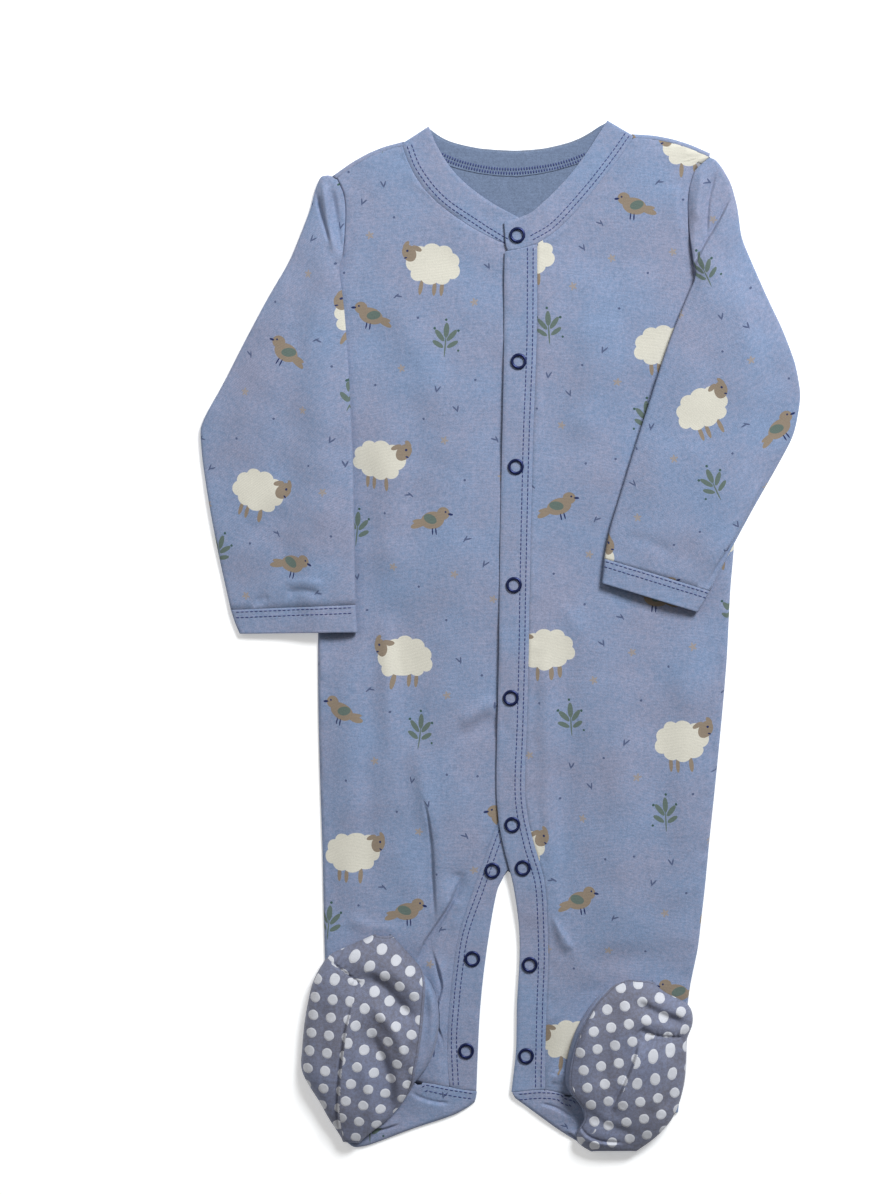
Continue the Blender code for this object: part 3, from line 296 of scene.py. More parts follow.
MERGE = 2e-6  # corners nearer than this are one, in metres
PAIR_ANGLE = math.radians(40)  # how far two triangles of one face may turn from each other
PAIR_SHAPE = math.radians(100)
OUTER_EDGE = math.radians(62)  # an outer face ends where it turns by more than this
LEVEL_FACE = 0.9  # upward share of a level face's normal
SHARP = 2.6  # a crease with a side narrower than this gets finer cloth round it
FINE_ROUNDS = 2
FINE_REACH = 4.0
FINE_EDGE = 0.8
NO_RIM = 1000.0  # distance from the rim on a piece that has none
UNDER_GAP = 0.3  # room left under a piece that lies on another
LOOK_FROM = 0.2  # how far below the cloth the search for such a piece starts
LOOK_UP = 30.0
SEAM_REACH = 2.4  # the widest seam that a rim is carried across
SEAM_LAP = 0.2  # how far it goes on into the next piece
SEAM_DEPTH = 0.9
RIM_BELOW = 0.5  # how far below a rim the next piece is looked for
FREE_DROP = 0.3  # share of the depth to which a rim with no next piece drops
COVERED = 6.0  # a rim is also carried on where a piece lies this close above it
DOWNWARD = -0.5  # a rim that faces down more than this is carried on to no cover
STEEP_CLOTH = 0.15  # upward share of its normal below which cloth isn't raised
LEAN_FADE = 0.5  # the further share over which it comes to be raised in full


def new_object(name, bm, *finishes):
    """A smooth-shaded object from a bmesh, which is used up."""
    mesh = bpy.data.meshes.new(name)
    bm.to_mesh(mesh)
    bm.free()
    mesh.shade_smooth()
    for finish in finishes:
        mesh.materials.append(finish)
    obj = bpy.data.objects.new(name, mesh)
    bpy.context.scene.collection.objects.link(obj)
    return obj


def merged_copy(node):
    """A copy of a solid's mesh with its corners joined and its triangles paired."""
    bm = bmesh.new()
    bm.from_mesh(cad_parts[node].data)
    bmesh.ops.remove_doubles(bm, verts=bm.verts, dist=MERGE)
    bmesh.ops.join_triangles(
        bm, faces=bm.faces, angle_face_threshold=PAIR_ANGLE, angle_shape_threshold=PAIR_SHAPE
    )
    return bm


def keep_outer_face(bm, up):
    """Leaves what the highest face, or the lowest for up = -1, reaches without a sharp edge."""
    level = [face for face in bm.faces if up * face.normal.z > LEVEL_FACE]
    start = max(level, key=lambda face: up * face.calc_center_median().z)
    kept = {start}
    fresh = [start]
    while fresh:
        for edge in fresh.pop().edges:
            if len(edge.link_faces) == 2 and edge.calc_face_angle() < OUTER_EDGE:
                more = [face for face in edge.link_faces if face not in kept]
                kept.update(more)
                fresh.extend(more)
    bmesh.ops.delete(bm, geom=[face for face in bm.faces if face not in kept], context="FACES")


def smoothed(name, bm, levels):
    """An object from a bmesh, halved once as it is and then subdivided smoothly."""
    bmesh.ops.subdivide_edges(bm, edges=bm.edges, cuts=1, use_grid_fill=True)
    obj = new_object(name, bm)
    subdivision = obj.modifiers.new("Smooth", "SUBSURF")
    subdivision.levels = levels - 1
    subdivision.render_levels = levels - 1
    subdivision.boundary_smooth = "PRESERVE_CORNERS"
    fine = bpy.data.meshes.new_from_object(obj.evaluated_get(bpy.context.evaluated_depsgraph_get()))
    obj.modifiers.clear()
    obj.data = fine
    fine.name = name
    return obj


def refine(obj, creases):
    """Halves the faces beside steep creases until their edges are short."""
    lines = [curved(points) for left, right, _, *points in creases if min(left, right) < SHARP]
    if not lines:
        return
    bm = bmesh.new()
    bm.from_mesh(obj.data)
    for _ in range(FINE_ROUNDS):
        middles = np.array([(edge.verts[0].co + edge.verts[1].co)[:2] for edge in bm.edges]) / (2 * MM)
        near = np.min([nearest_on(middles, line)[0] for line in lines], axis=0) < FINE_REACH
        long = [edge.calc_length() > FINE_EDGE * MM for edge in bm.edges]
        chosen = [edge for edge, *wanted in zip(bm.edges, near, long) if all(wanted)]
        bmesh.ops.subdivide_edges(bm, edges=chosen, cuts=1, use_grid_fill=True)
    bm.to_mesh(obj.data)
    bm.free()


def points_tree(points):
    """A tree of points, to find the nearest one in."""
    tree = KDTree(len(points))
    for number, point in enumerate(points):
        tree.insert(point, number)
    tree.balance()
    return tree


def edge_distance(obj):
    """How far each point of an open sheet is from its rim, in millimetres."""
    bm = bmesh.new()
    bm.from_mesh(obj.data)
    rim = [vert.co.copy() for vert in bm.verts if vert.is_boundary]
    bm.free()
    if not rim:
        return np.full(len(obj.data.vertices), NO_RIM)
    tree = points_tree(rim)
    return np.array([tree.find(vert.co)[2] for vert in obj.data.vertices]) / MM


def raise_points(obj, heights):
    """Moves each point up by its height in millimetres."""
    for vert, height in zip(obj.data.vertices, heights):
        vert.co.z += height * MM
    obj.data.update()


def tree_of(nodes):
    """The solids of some nodes, to cast rays at."""
    bm = bmesh.new()
    for node in nodes:
        bm.from_mesh(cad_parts[node].data)
    tree = BVHTree.FromBMesh(bm)
    bm.free()
    return tree


def kept_below(xy, z, heights, nodes):
    """Heights held under the solids that lie on a piece."""
    tree = tree_of(nodes)
    for number in np.flatnonzero(heights > 0):
        start = Vector((xy[number, 0], xy[number, 1], z[number] - LOOK_FROM)) * MM
        hit = tree.ray_cast(start, UP, LOOK_UP * MM)[0]
        if hit is not None:
            heights[number] = min(heights[number], max(hit.z / MM - z[number] - UNDER_GAP, 0.0))
    return heights


def gap_beside(tree, point, normal, side):
    """Width of the seam between a point of a rim and the next piece, or None where there is none."""
    gap = tree.ray_cast(point - RIM_BELOW * MM * normal, side, SEAM_REACH * MM)[3]
    if gap or side.z < DOWNWARD:
        return gap
    for share in (0.25, 0.5, 0.75, 1.0):
        reach = share * SEAM_REACH * MM
        if tree.ray_cast(point + side * reach, UP, COVERED * MM)[0] is not None:
            return reach
    return None


def carry_rim(obj, node, down):
    """Carries the rim of a sheet on into its seam, until it meets the next piece."""
    tree = tree_of([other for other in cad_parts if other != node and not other.startswith("snap")])
    bm = bmesh.new()
    bm.from_mesh(obj.data)
    rim = [edge for edge in bm.edges if edge.is_boundary]
    outward = {}
    for edge in rim:
        face = edge.link_faces[0]
        side = (edge.verts[1].co - edge.verts[0].co).cross(face.normal).normalized()
        if side.dot(edge.verts[0].co - face.calc_center_median()) < 0:
            side.negate()
        for vert in edge.verts:
            outward[vert] = outward.get(vert, Vector()) + side
    moves = {}
    for vert, side in outward.items():
        side.normalize()
        gap = gap_beside(tree, vert.co, vert.normal, side)
        drop = down if gap else FREE_DROP * down
        moves[vert] = side * ((gap or 0.0) + SEAM_LAP * MM) - vert.normal * drop * MM
    made = bmesh.ops.extrude_edge_only(bm, edges=rim)["geom"]
    for vert in made:
        if isinstance(vert, bmesh.types.BMVert):
            before = [edge.other_vert(vert) for edge in vert.link_edges]
            vert.co += next(moves[other] for other in before if other in moves)
            vert.co.z = max(vert.co.z, 0.0)
    bm.to_mesh(obj.data)
    bm.free()


def points_of(obj):
    """Plan points, heights and normals of a mesh; lengths in millimetres."""
    places = np.empty(len(obj.data.vertices) * 3)
    obj.data.vertices.foreach_get("co", places)
    normals = np.empty(len(obj.data.vertices) * 3)
    obj.data.vertex_normals.foreach_get("vector", normals)
    places = places.reshape(-1, 3) / MM
    return places[:, :2], places[:, 2], normals.reshape(-1, 3)


def place_in_suit(obj, slot, node=None):
    """Gives an object its body, and hides the node that it takes the place of; the slot is not used."""
    if node:
        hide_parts(node)
    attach(obj, "root")
    return obj


def finish_cloth(obj, node, wall, outside, inside, slot):
    """Gives a sheet its wall, its finishes and its place in the suit."""
    obj.data.shade_smooth()
    obj.data.materials.clear()
    obj.data.materials.append(outside)
    if wall:
        obj.data.materials.append(inside)
        solidify = obj.modifiers.new("Cloth", "SOLIDIFY")
        solidify.thickness = wall * MM
        solidify.offset = -1.0
        solidify.use_quality_normals = True
        solidify.material_offset = 1
        solidify.material_offset_rim = 1
    return place_in_suit(obj, slot, node)


def cloth_piece(node, levels, wall, finishes, relief, creases=(), up=1, whole=False, slot="jersey"):
    """One piece of cloth over its solid's outer face, with its own relief."""
    bm = merged_copy(node)
    if not whole:
        keep_outer_face(bm, up)
    obj = smoothed(f"{node}_cloth", bm, levels)
    refine(obj, creases)
    xy, z, normals = points_of(obj)
    heights = relief(xy, z, edge_distance(obj))
    raise_points(obj, heights * smooth((up * normals[:, 2] - STEEP_CLOTH) / LEAN_FADE))
    carry_rim(obj, node, SEAM_DEPTH if up > 0 else 0.0)
    return finish_cloth(obj, node, wall, *finishes, slot)


# ---------------------------------------------------------------- finishes


def arithmetic(operation, swapped=False):
    """A method that extends a value by one math node."""

    def method(self, *others):
        values = (*others, self) if swapped else (self, *others)
        return self.nodes.math(operation, *values)

    return method


class Value:
    """A number in a shader tree, which plain arithmetic extends."""

    def __init__(self, nodes, socket):
        self.nodes = nodes
        self.socket = socket

    def clamped(self):
        return self.nodes.math("ADD", self, 0.0, clamp=True)

    __add__ = __radd__ = arithmetic("ADD")
    __mul__ = __rmul__ = arithmetic("MULTIPLY")
    __sub__ = arithmetic("SUBTRACT")
    __rsub__ = arithmetic("SUBTRACT", swapped=True)
    __truediv__ = arithmetic("DIVIDE")
    __mod__ = arithmetic("FLOORED_MODULO")
    __lt__ = arithmetic("LESS_THAN")
    __gt__ = arithmetic("GREATER_THAN")
    __abs__ = arithmetic("ABSOLUTE")


class Nodes:
    """Adds the shader nodes of one tree and joins them."""

    def __init__(self, tree):
        self.tree = tree

    def add(self, kind, values=None, **settings):
        node = self.tree.nodes.new(kind)
        for name, value in settings.items():
            setattr(node, name, value)
        self.fill(node, values or {})
        return node

    def fill(self, node, values):
        """Sets or joins a node's inputs."""
        for key, value in values.items():
            if isinstance(value, Value):
                value = value.socket
            if isinstance(value, bpy.types.NodeSocket):
                self.tree.links.new(value, node.inputs[key])
            else:
                node.inputs[key].default_value = value

    def math(self, operation, *values, clamp=False):
        node = self.add("ShaderNodeMath", dict(enumerate(values)), operation=operation, use_clamp=clamp)
        return Value(self, node.outputs[0])

    def split(self, point):
        """X, Y and Z of a point."""
        return [Value(self, socket) for socket in self.add("ShaderNodeSeparateXYZ", {0: point}).outputs]

    def sum(self, first, second):
        """A vector plus a vector."""
        return self.add("ShaderNodeVectorMath", {0: first, 1: second}, operation="ADD").outputs[0]

    def length(self, point):
        node = self.add("ShaderNodeVectorMath", {0: point}, operation="LENGTH")
        return Value(self, node.outputs["Value"])

    def scaled(self, shade, factor):
        """A colour or vector times a number."""
        if not isinstance(shade, bpy.types.NodeSocket):
            shade = shade[:3]
        node = self.add("ShaderNodeVectorMath", {0: shade, "Scale": factor}, operation="SCALE")
        return node.outputs[0]

    def mix(self, share, first, second):
        return self.add("ShaderNodeMix", {0: share, 6: first, 7: second}, data_type="RGBA").outputs[2]

    def bump(self, height, strength, distance):
        values = {"Height": height, "Strength": strength, "Distance": distance}
        return self.add("ShaderNodeBump", values).outputs[0]

    def mapped(self, point, x=0.0, y=0.0, turn=0.0, size=(1.0, 1.0, 1.0), kind="POINT"):
        """A point after a mapping, or with kind TEXTURE in the frame of a motif."""
        values = {"Vector": point, "Location": (x, y, 0.0), "Scale": size}
        values["Rotation"] = (0.0, 0.0, math.radians(turn))
        return self.add("ShaderNodeMapping", values, vector_type=kind).outputs[0]

    def noise(self, point, scale, detail=2.0, stretch=(1.0, 1.0, 1.0)):
        """Noise about 0, from about -0.5 to 0.5, stretched along an axis by a small scale."""
        values = {"Vector": self.mapped(point, size=stretch), "Scale": scale, "Detail": detail}
        return Value(self, self.add("ShaderNodeTexNoise", values).outputs["Fac"]) - 0.5

    def least(self, values):
        """The least of several values."""
        nearest, *others = values
        for value in others:
            nearest = self.math("MINIMUM", nearest, value)
        return nearest

    def ovals(self, point, *shapes):
        """Distance from the middle of the nearest of several ovals, where its edge is 1."""
        return self.least(
            [
                self.length(self.mapped(point, x, y, turn, (wide, high, 1.0), "TEXTURE"))
                for x, y, wide, high, turn in shapes
            ]
        )


def new_material(name):
    """A material, its nodes and its shader."""
    finish = bpy.data.materials.new(name)
    finish.use_nodes = True
    return finish, Nodes(finish.node_tree), finish.node_tree.nodes["Principled BSDF"]


# The print's motifs are ovals: x, y, half width, half height and turn in degrees.
REPEAT = (104, 122)  # half-drop repeat of the print
SHEEP_WOOL = (
    (0, 0, 12, 8.6, 0), (-11, 3, 5, 4.8, 0), (-6, 7.6, 5.2, 4.6, 0),
    (1.5, 8.8, 5.4, 4.4, 0), (8.5, 6.6, 5, 4.6, 0), (12.2, 0.6, 4.6, 5, 0),
    (-12.6, -2.8, 4.4, 4.6, 0), (-6.5, -7, 5, 4, 0), (1, -7.8, 5.4, 3.8, 0),
    (8.5, -5.8, 4.8, 4.2, 0),
)
SHEEP_HEAD = ((15.2, 6.4, 4.2, 5.4, -28), (10.6, 9.6, 3.2, 1.5, 24), (17.4, 11.4, 2.8, 1.4, -58))
SHEEP_LEGS = ((-7, -13.4, 1.3, 4.6, 0), (-2.4, -13.8, 1.3, 4.4, 0), (6, -13.6, 1.3, 4.6, 4))
SHEEP_MARKS = ((16.4, 7.8, 0.75, 0.75, 0), (17.2, 3.4, 1, 0.5, -24))
BIRD_BODY = (
    (0, 0, 7.6, 5.2, 14), (6.4, 4.8, 4, 3.8, 0), (-8.8, -3.6, 5, 1.9, 24),
    (-7.8, -1.6, 4.8, 1.5, 4),
)
BIRD_WING = ((-1.6, 0.6, 4.4, 2.7, -16),)
BIRD_MARKS = (
    (7.8, 5.8, 0.6, 0.6, 0), (11, 4.6, 1.6, 0.7, -6), (0.6, -6.8, 0.45, 2.2, 6),
    (2.8, -6.4, 0.45, 2.2, 10),
)
SPRIG_LEAVES = (
    (0, 5.4, 1.7, 4.6, 0), (-3.6, 2.4, 1.5, 4.4, 38), (3.8, 2, 1.5, 4.4, -40),
    (-4.4, -3, 1.4, 3.8, 56), (4.4, -3.2, 1.4, 3.8, -58), (0, -4.6, 0.45, 6.4, 0),
)
SPRIG_DOTS = (
    (-7.4, 5.6, 0.8, 0.8, 0), (7.2, 6.2, 0.8, 0.8, 0), (0.6, 11.8, 0.8, 0.8, 0),
    (-8.2, -6.6, 0.7, 0.7, 0),
)
# Places in a repeat: x, y and turn.
SHEEP_AT = (-12, 22, 0)
BIRD_AT = (24, -12, 0)
SPRIG_AT = (-24, -22, 0)
FLOWERS_AT = ((28, 38), (-40, 2), (2, -42), (40, -44))
SPECKS_AT = ((-36, 48), (14, 50), (42, 14), (-6, -10), (18, -54), (-44, -46))
TICKS_AT = (
    (34, 58, 20), (-46, 24, -30), (8, 2, 70), (-22, -52, 10),
    (46, -22, -50),
)
SPECK_RADIUS = 0.75
TICK_LIMB = (0.5, 2.2)
TICK_LEAN = 24.0
TICK_SPREAD = 0.8
PETALS = 5.0
PETAL_RADIUS = 1.9
PETAL_DEPTH = 0.75


def make_print():
    """The meadow print: sheep, birds, sprigs and small marks in a half-drop repeat."""
    group = bpy.data.node_groups.new("Meadow print", "ShaderNodeTree")
    group.interface.new_socket("Point", in_out="INPUT", socket_type="NodeSocketVector")
    group.interface.new_socket("Cloth", in_out="INPUT", socket_type="NodeSocketColor")
    group.interface.new_socket("Color", in_out="OUTPUT", socket_type="NodeSocketColor")
    group.interface.new_socket("Ink", in_out="OUTPUT", socket_type="NodeSocketFloat")
    n = Nodes(group)
    given = n.add("NodeGroupInput")
    x, y, _ = n.split(given.outputs["Point"])
    wide, high = REPEAT
    column = n.math("FLOOR", x / wide)
    x = x - (column + 0.5) * wide
    odd = column % 2.0
    y = y + odd * (high / 2)
    row = n.math("FLOOR", y / high)
    y = y - (row + 0.5) * high
    x = x * (1.0 - (row + odd) % 2.0 * 2.0)
    cell = n.add("ShaderNodeCombineXYZ", {0: x, 1: y}).outputs[0]
    sheep, bird, sprig = [n.mapped(cell, *place, kind="TEXTURE") for place in (SHEEP_AT, BIRD_AT, SPRIG_AT)]
    flowers = []
    for place in FLOWERS_AT:
        middle = n.mapped(cell, *place, kind="TEXTURE")
        across, up, _ = n.split(middle)
        angle = n.math("ARCTAN2", up, across)
        petals = n.math("COSINE", angle * PETALS) * PETAL_DEPTH + PETAL_RADIUS
        flowers.append(n.length(middle) / petals)
    specks = n.ovals(cell, *[(*place, SPECK_RADIUS, SPECK_RADIUS, 0.0) for place in SPECKS_AT])
    ticks = n.ovals(
        cell,
        *[
            (x + side * TICK_SPREAD, y, *TICK_LIMB, turn - side * TICK_LEAN)
            for x, y, turn in TICKS_AT
            for side in (-1, 1)
        ],
    )
    shade = given.outputs["Cloth"]
    ink = 0.0
    layers = (
        (n.ovals(sheep, *SHEEP_LEGS), "tan"),
        (n.ovals(sheep, *SHEEP_WOOL), "cream"),
        (n.ovals(sheep, *SHEEP_HEAD), "tan"),
        (n.ovals(sheep, *SHEEP_MARKS), "navy"),
        (n.ovals(bird, *BIRD_BODY), "tan"),
        (n.ovals(bird, *BIRD_WING), "green"),
        (n.ovals(bird, *BIRD_MARKS), "navy"),
        (n.ovals(sprig, *SPRIG_LEAVES), "green"),
        (n.ovals(sprig, *SPRIG_DOTS), "dark_green"),
        (n.least(flowers), "faint"),
        (specks, "mark"),
        (ticks, "mark"),
    )
    for value, name in layers:
        mask = value < 1.0
        shade = n.mix(mask, shade, colour(name))
        ink = n.math("MAXIMUM", ink, mask)
    n.add("NodeGroupOutput", {"Color": shade, "Ink": ink})


WALE = 1.1  # width of a column of stitches
COURSE = 0.9  # height of a row of stitches
STITCH_SLOPE = 1.4
LIMB_SHARE = 0.35  # share of the knit's height that is its limbs, the rest being its columns


def knit_height(n, point):
    """Columns of fine V stitches of an interlock jersey."""
    x, y, _ = n.split(point)
    slope = abs(n.math("SINE", x * (2 * math.pi / WALE)))
    along = n.math("SINE", slope * STITCH_SLOPE + y * (2 * math.pi / COURSE))
    return along * LIMB_SHARE + slope * (1 - LIMB_SHARE)


def heather(n, point, blue, mauve):
    """Marled yarn: two blues in wide soft patches, with short streaks and fine specks."""
    speck = n.noise(point, 1.5)
    fleck = n.noise(point, 0.5, 1.0)
    courses = n.noise(point, 1.0, 1.0, (0.07, 0.75, 0.5))
    wales = n.noise(point, 1.0, 1.0, (0.8, 0.05, 0.5))
    patch = n.noise(point, 0.022)
    tone = speck * 0.7 + fleck * 0.36 + courses * 0.14 + wales * 0.1 + 1.0
    share = patch * 2.2 + fleck * 1.4 + 0.5
    return n.scaled(n.mix(share.clamped(), blue, mauve), tone), speck


TO_MM = (1000.0, 1000.0, 1000.0)
ROUND_SIDES = (0.62, 0.78, 0.0)  # how far the print moves on for each step down a side


def jersey(name, blue, mauve, origin=(0.0, 0.0), turn=0.0, printed=True):
    """Heather interlock with a fine knit, printed or plain, with its repeat placed for one piece."""
    finish, n, shader = new_material(name)
    point = n.mapped(n.add("ShaderNodeTexCoord").outputs["Object"], *origin, turn, TO_MM)
    depth = n.split(point)[2]
    point = n.sum(point, n.scaled(ROUND_SIDES, depth))
    shade, speck = heather(n, point, blue, mauve)
    if printed:
        group = n.add("ShaderNodeGroup", node_tree=bpy.data.node_groups["Meadow print"])
        n.fill(group, {"Point": point, "Cloth": shade})
        ink = Value(n, group.outputs["Ink"])
        shade = n.scaled(group.outputs["Color"], speck * ink * 0.3 + 1.0)
    values = {"Roughness": 0.92, "Sheen Weight": 0.12, "Sheen Roughness": 0.5, "Specular IOR Level": 0.15}
    bump = n.bump(speck * 1.2 + knit_height(n, point), 0.5, 0.00014)
    n.fill(shader, {**values, "Base Color": shade, "Normal": bump})
    return finish


DOT_PITCH = 11.0
DOT_RADIUS = 3.15
DOT_WANDER = 0.7
DOT_STEEPNESS = 4.0
DOT_HEIGHT = 4.0
DOT_FROM_RIM = 2.0  # the print of dots stops this far from the rim
# A seam line inside the sole's rim: it is sunk in the bump, and its colour is darkened by painted shade, as
# of the shadow beside the binding.
SHADED_SEAM_FROM_RIM = 1.7
SHADED_SEAM_LINE = 0.25
SEAM_PAINTED_SHADE = 0.35
SEAM_SUNK = 3.0


def sole_finish(name, dull, blue, dot_colour):
    """Dark marled knit with raised pale grip dots, which stop short of the sole's rim, and a sunk seam line
    inside the rim whose darker colour is painted shade.
    """
    finish, n, shader = new_material(name)
    point = n.mapped(n.add("ShaderNodeTexCoord").outputs["UV"], size=TO_MM)
    x, y = [value % DOT_PITCH - DOT_PITCH / 2 for value in n.split(point)[:2]]
    away = n.noise(point, 0.35, 1.0) * DOT_WANDER + n.math("SQRT", x * x + y * y)
    rim = Value(n, n.add("ShaderNodeAttribute", attribute_name="Rim").outputs["Fac"])
    dot = (1.0 - away / DOT_RADIUS).clamped() * (rim > DOT_FROM_RIM)
    # The seam line is sunk as a real seam in the bump, and its darker colour is painted shade.
    seam = abs(rim - SHADED_SEAM_FROM_RIM) < SHADED_SEAM_LINE
    cloth, speck = heather(n, point, dull, blue)
    cloth = n.scaled(cloth, 1.0 - seam * SEAM_PAINTED_SHADE)
    shade = n.mix(dot > 0.0, cloth, n.scaled(dot_colour, speck * 0.16 + 1.0))
    dome = n.math("MINIMUM", dot * DOT_STEEPNESS, 1.0) * DOT_HEIGHT
    bump = n.bump(dome + knit_height(n, point) * 0.6 - seam * SEAM_SUNK, 0.6, 0.0001)
    n.fill(shader, {"Base Color": shade, "Roughness": 0.8, "Sheen Weight": 0.1, "Normal": bump})
    return finish


def plain_finish(name, shade, roughness, metallic=0.0):
    """Thread or enamel, with a little uneven gloss."""
    finish, n, shader = new_material(name)
    grain = n.noise(n.add("ShaderNodeTexCoord").outputs["Object"], 900.0)
    values = {"Base Color": n.scaled(shade, grain * 0.5 + 1.0), "Roughness": grain * 0.15 + roughness}
    n.fill(shader, {**values, "Metallic": metallic})
    return finish


# ---------------------------------------------------------------- properties


def shade_of(name, description, default):
    """A colour that the panel shows."""
    return bpy.props.FloatVectorProperty(
        name=name, description=description, subtype="COLOR", default=default
    )


class SleepsuitColours(bpy.types.PropertyGroup):
    jersey: shade_of("Jersey", "Blue yarn of the jersey", (0.208, 0.28, 0.435))
    mauve: shade_of("Mauve", "Greyer yarn of the jersey", (0.255, 0.275, 0.39))
    inside: shade_of("Inside", "Wrong side of the jersey", (0.15, 0.195, 0.295))
    sole: shade_of("Sole", "Cloth of the soles", (0.15, 0.152, 0.2))
    sole_blue: shade_of("Sole blue", "Bluer yarn of the soles", (0.172, 0.195, 0.295))
    dots: shade_of("Dots", "Grip dots of the soles", (0.58, 0.59, 0.64))
    thread: shade_of("Thread", "Topstitching", (0.03, 0.045, 0.17))
    enamel: shade_of("Enamel", "Enamel of the ring snaps", (0.01, 0.018, 0.085))
    cream: shade_of("Cream", "Wool of the printed sheep", (0.635, 0.61, 0.53))
    tan: shade_of("Tan", "Printed birds, heads and legs", (0.258, 0.205, 0.155))
    green: shade_of("Green", "Printed sprigs and wings", (0.116, 0.156, 0.138))
    dark_green: shade_of("Dark green", "Dots round the sprigs", (0.05, 0.1, 0.09))
    navy: shade_of("Navy", "Eyes, beaks and legs of the birds", (0.02, 0.03, 0.1))
    mark: shade_of("Mark", "Specks and ticks between the motifs", (0.085, 0.11, 0.2))
    faint: shade_of("Faint", "Small printed flowers", (0.3, 0.27, 0.27))


class SleepsuitCloth(bpy.types.PropertyGroup):
    wall: bpy.props.FloatProperty(
        name="Cloth wall", description="Thickness of one layer of jersey", unit="LENGTH", default=0.0009
    )
    levels: bpy.props.IntProperty(
        name="Fineness", description="Subdivision of the large pieces", default=3, min=1, max=4
    )


class SleepsuitStudio(bpy.types.PropertyGroup):
    light: bpy.props.FloatProperty(
        name="Light", description="Power of the soft light", unit="POWER", default=71.0
    )
    surroundings: bpy.props.FloatProperty(
        name="Surroundings", description="Even light from all sides", default=0.17
    )


def colour(name):
    value = getattr(bpy.context.scene.sleepsuit_colours, name)
    return (*value, 1.0)


# ---------------------------------------------------------------- operators


# How each kind of piece is uneven, where it is free to be: slow waves (height and pitch), the margin
# beside its seams over which they set in (start and width), the height of the ripples beside its
# seams and the shift of their seed, and the level from which it is uneven (start and span).
UNEVENNESS = {
    "front": (((1.1, 46.0), (0.5, 17.0)), (0.6, 7.0), 0.45, 9, (1.2, 2.0)),
    "sleeve": (((1.0, 34.0), (0.4, 13.0)), (0.0, 4.0), 0.35, 9, (1.0, 3.0)),
    "band": (((0.25, 9.0),), (0.0, 4.0), 0.12, 0, (0.6, 1.0)),
}
RIPPLE_PITCH = 5.5
RIPPLE_START = 2.5
RIPPLE_REACH = 8.0
FRONT_LOWEST = 1.9  # a front stays above the back, which it lies on
SOLE_WAVES = ((0.3, 11.0),)
SOLE_MARGIN = 2.5
UPPER_WAVES = ((0.4, 15.0),)
UPPER_BESIDE = 1.5  # an upper is under its sole up to this far beside a point of the sole
UPPER_SUNK = 3.8  # how far it is sunk there
UPPER_SINKING = 6.0  # how far inside the sole's rim it is sunk in full
UPPER_TOP = 1.2  # how far it may rise beside the sole


def slow_waves(xy, sizes, seed):
    """Waves of several sizes, one on the other."""
    return sum(height * waves(xy, pitch, seed + 4 * number) for number, (height, pitch) in enumerate(sizes))


def seam_ripples(xy, away, seed):
    """Small uneven ripples that a seam draws into the cloth beside it."""
    near = smooth(away / RIPPLE_START) * np.exp(-((away / RIPPLE_REACH) ** 2))
    return near * waves(xy, RIPPLE_PITCH, seed)


def relief_of(kind, creases, seed):
    """Creases, slow waves and ripples of a sleeve, a band or a front."""
    sizes, (margin, width), ripple, shift, (level, span) = UNEVENNESS[kind]

    def relief(xy, z, away):
        heights = creased(xy, creases, seed) + slow_waves(xy, sizes, seed)
        heights *= smooth((away - margin) / width)
        heights += ripple * seam_ripples(xy, away, seed + shift)
        return heights * smooth((z - level) / span)

    return relief


def front_relief(creases, seed, covers):
    """A front, held above the back and under what lies on it."""
    free = relief_of("front", creases, seed)

    def relief(xy, z, away):
        return kept_below(xy, z, np.maximum(free(xy, z, away), FRONT_LOWEST - z), covers)

    return relief


def sole_relief(creases, gather, seed):
    """A sole with deep folds and a gathered seam."""

    def relief(xy, _, away):
        heights = creased(xy, creases, seed) + gathered(xy, gather) + slow_waves(xy, SOLE_WAVES, seed)
        return smooth(away / SOLE_MARGIN) * heights

    return relief


def back_relief(xy, z, away):
    """The underside lies flat but for a few hollows."""
    return smooth((away - 4.0) / 10.0) * creased(xy, BACK_CREASES, 3.0) * smooth((0.4 - z) / 0.3)


BAND_LEVELS = 3  # fineness of the bands and other small pieces


def printed(node, origin, turn):
    """The printed outside and the plain inside of one piece."""
    outside = jersey(f"Printed jersey {node}", colour("jersey"), colour("mauve"), origin, turn)
    return outside, bpy.data.materials["Jersey inside"]


def plain():
    """The finishes of a band, which is cut between the motifs."""
    return bpy.data.materials["Plain jersey"], bpy.data.materials["Jersey inside"]


class SLEEPSUIT_OT_finishes(bpy.types.Operator):
    """Shared finishes: the print and the plain inside of the jersey"""

    bl_idname = "sleepsuit.finishes"
    bl_label = "Finishes"

    def execute(self, context):
        make_print()
        jersey("Plain jersey", colour("jersey"), colour("mauve"), printed=False)
        jersey("Jersey inside", colour("inside"), colour("inside"), printed=False)
        return {"FINISHED"}


class SLEEPSUIT_OT_back(bpy.types.Operator):
    """The back, which lies on the surface"""

    bl_idname = "sleepsuit.back"
    bl_label = "Back"

    def execute(self, context):
        finishes = printed("back", (-2.0, 52.0), 180.0)
        obj = cloth_piece("back_panel", BAND_LEVELS, 1.0, finishes, back_relief, up=-1)
        return {"FINISHED"}


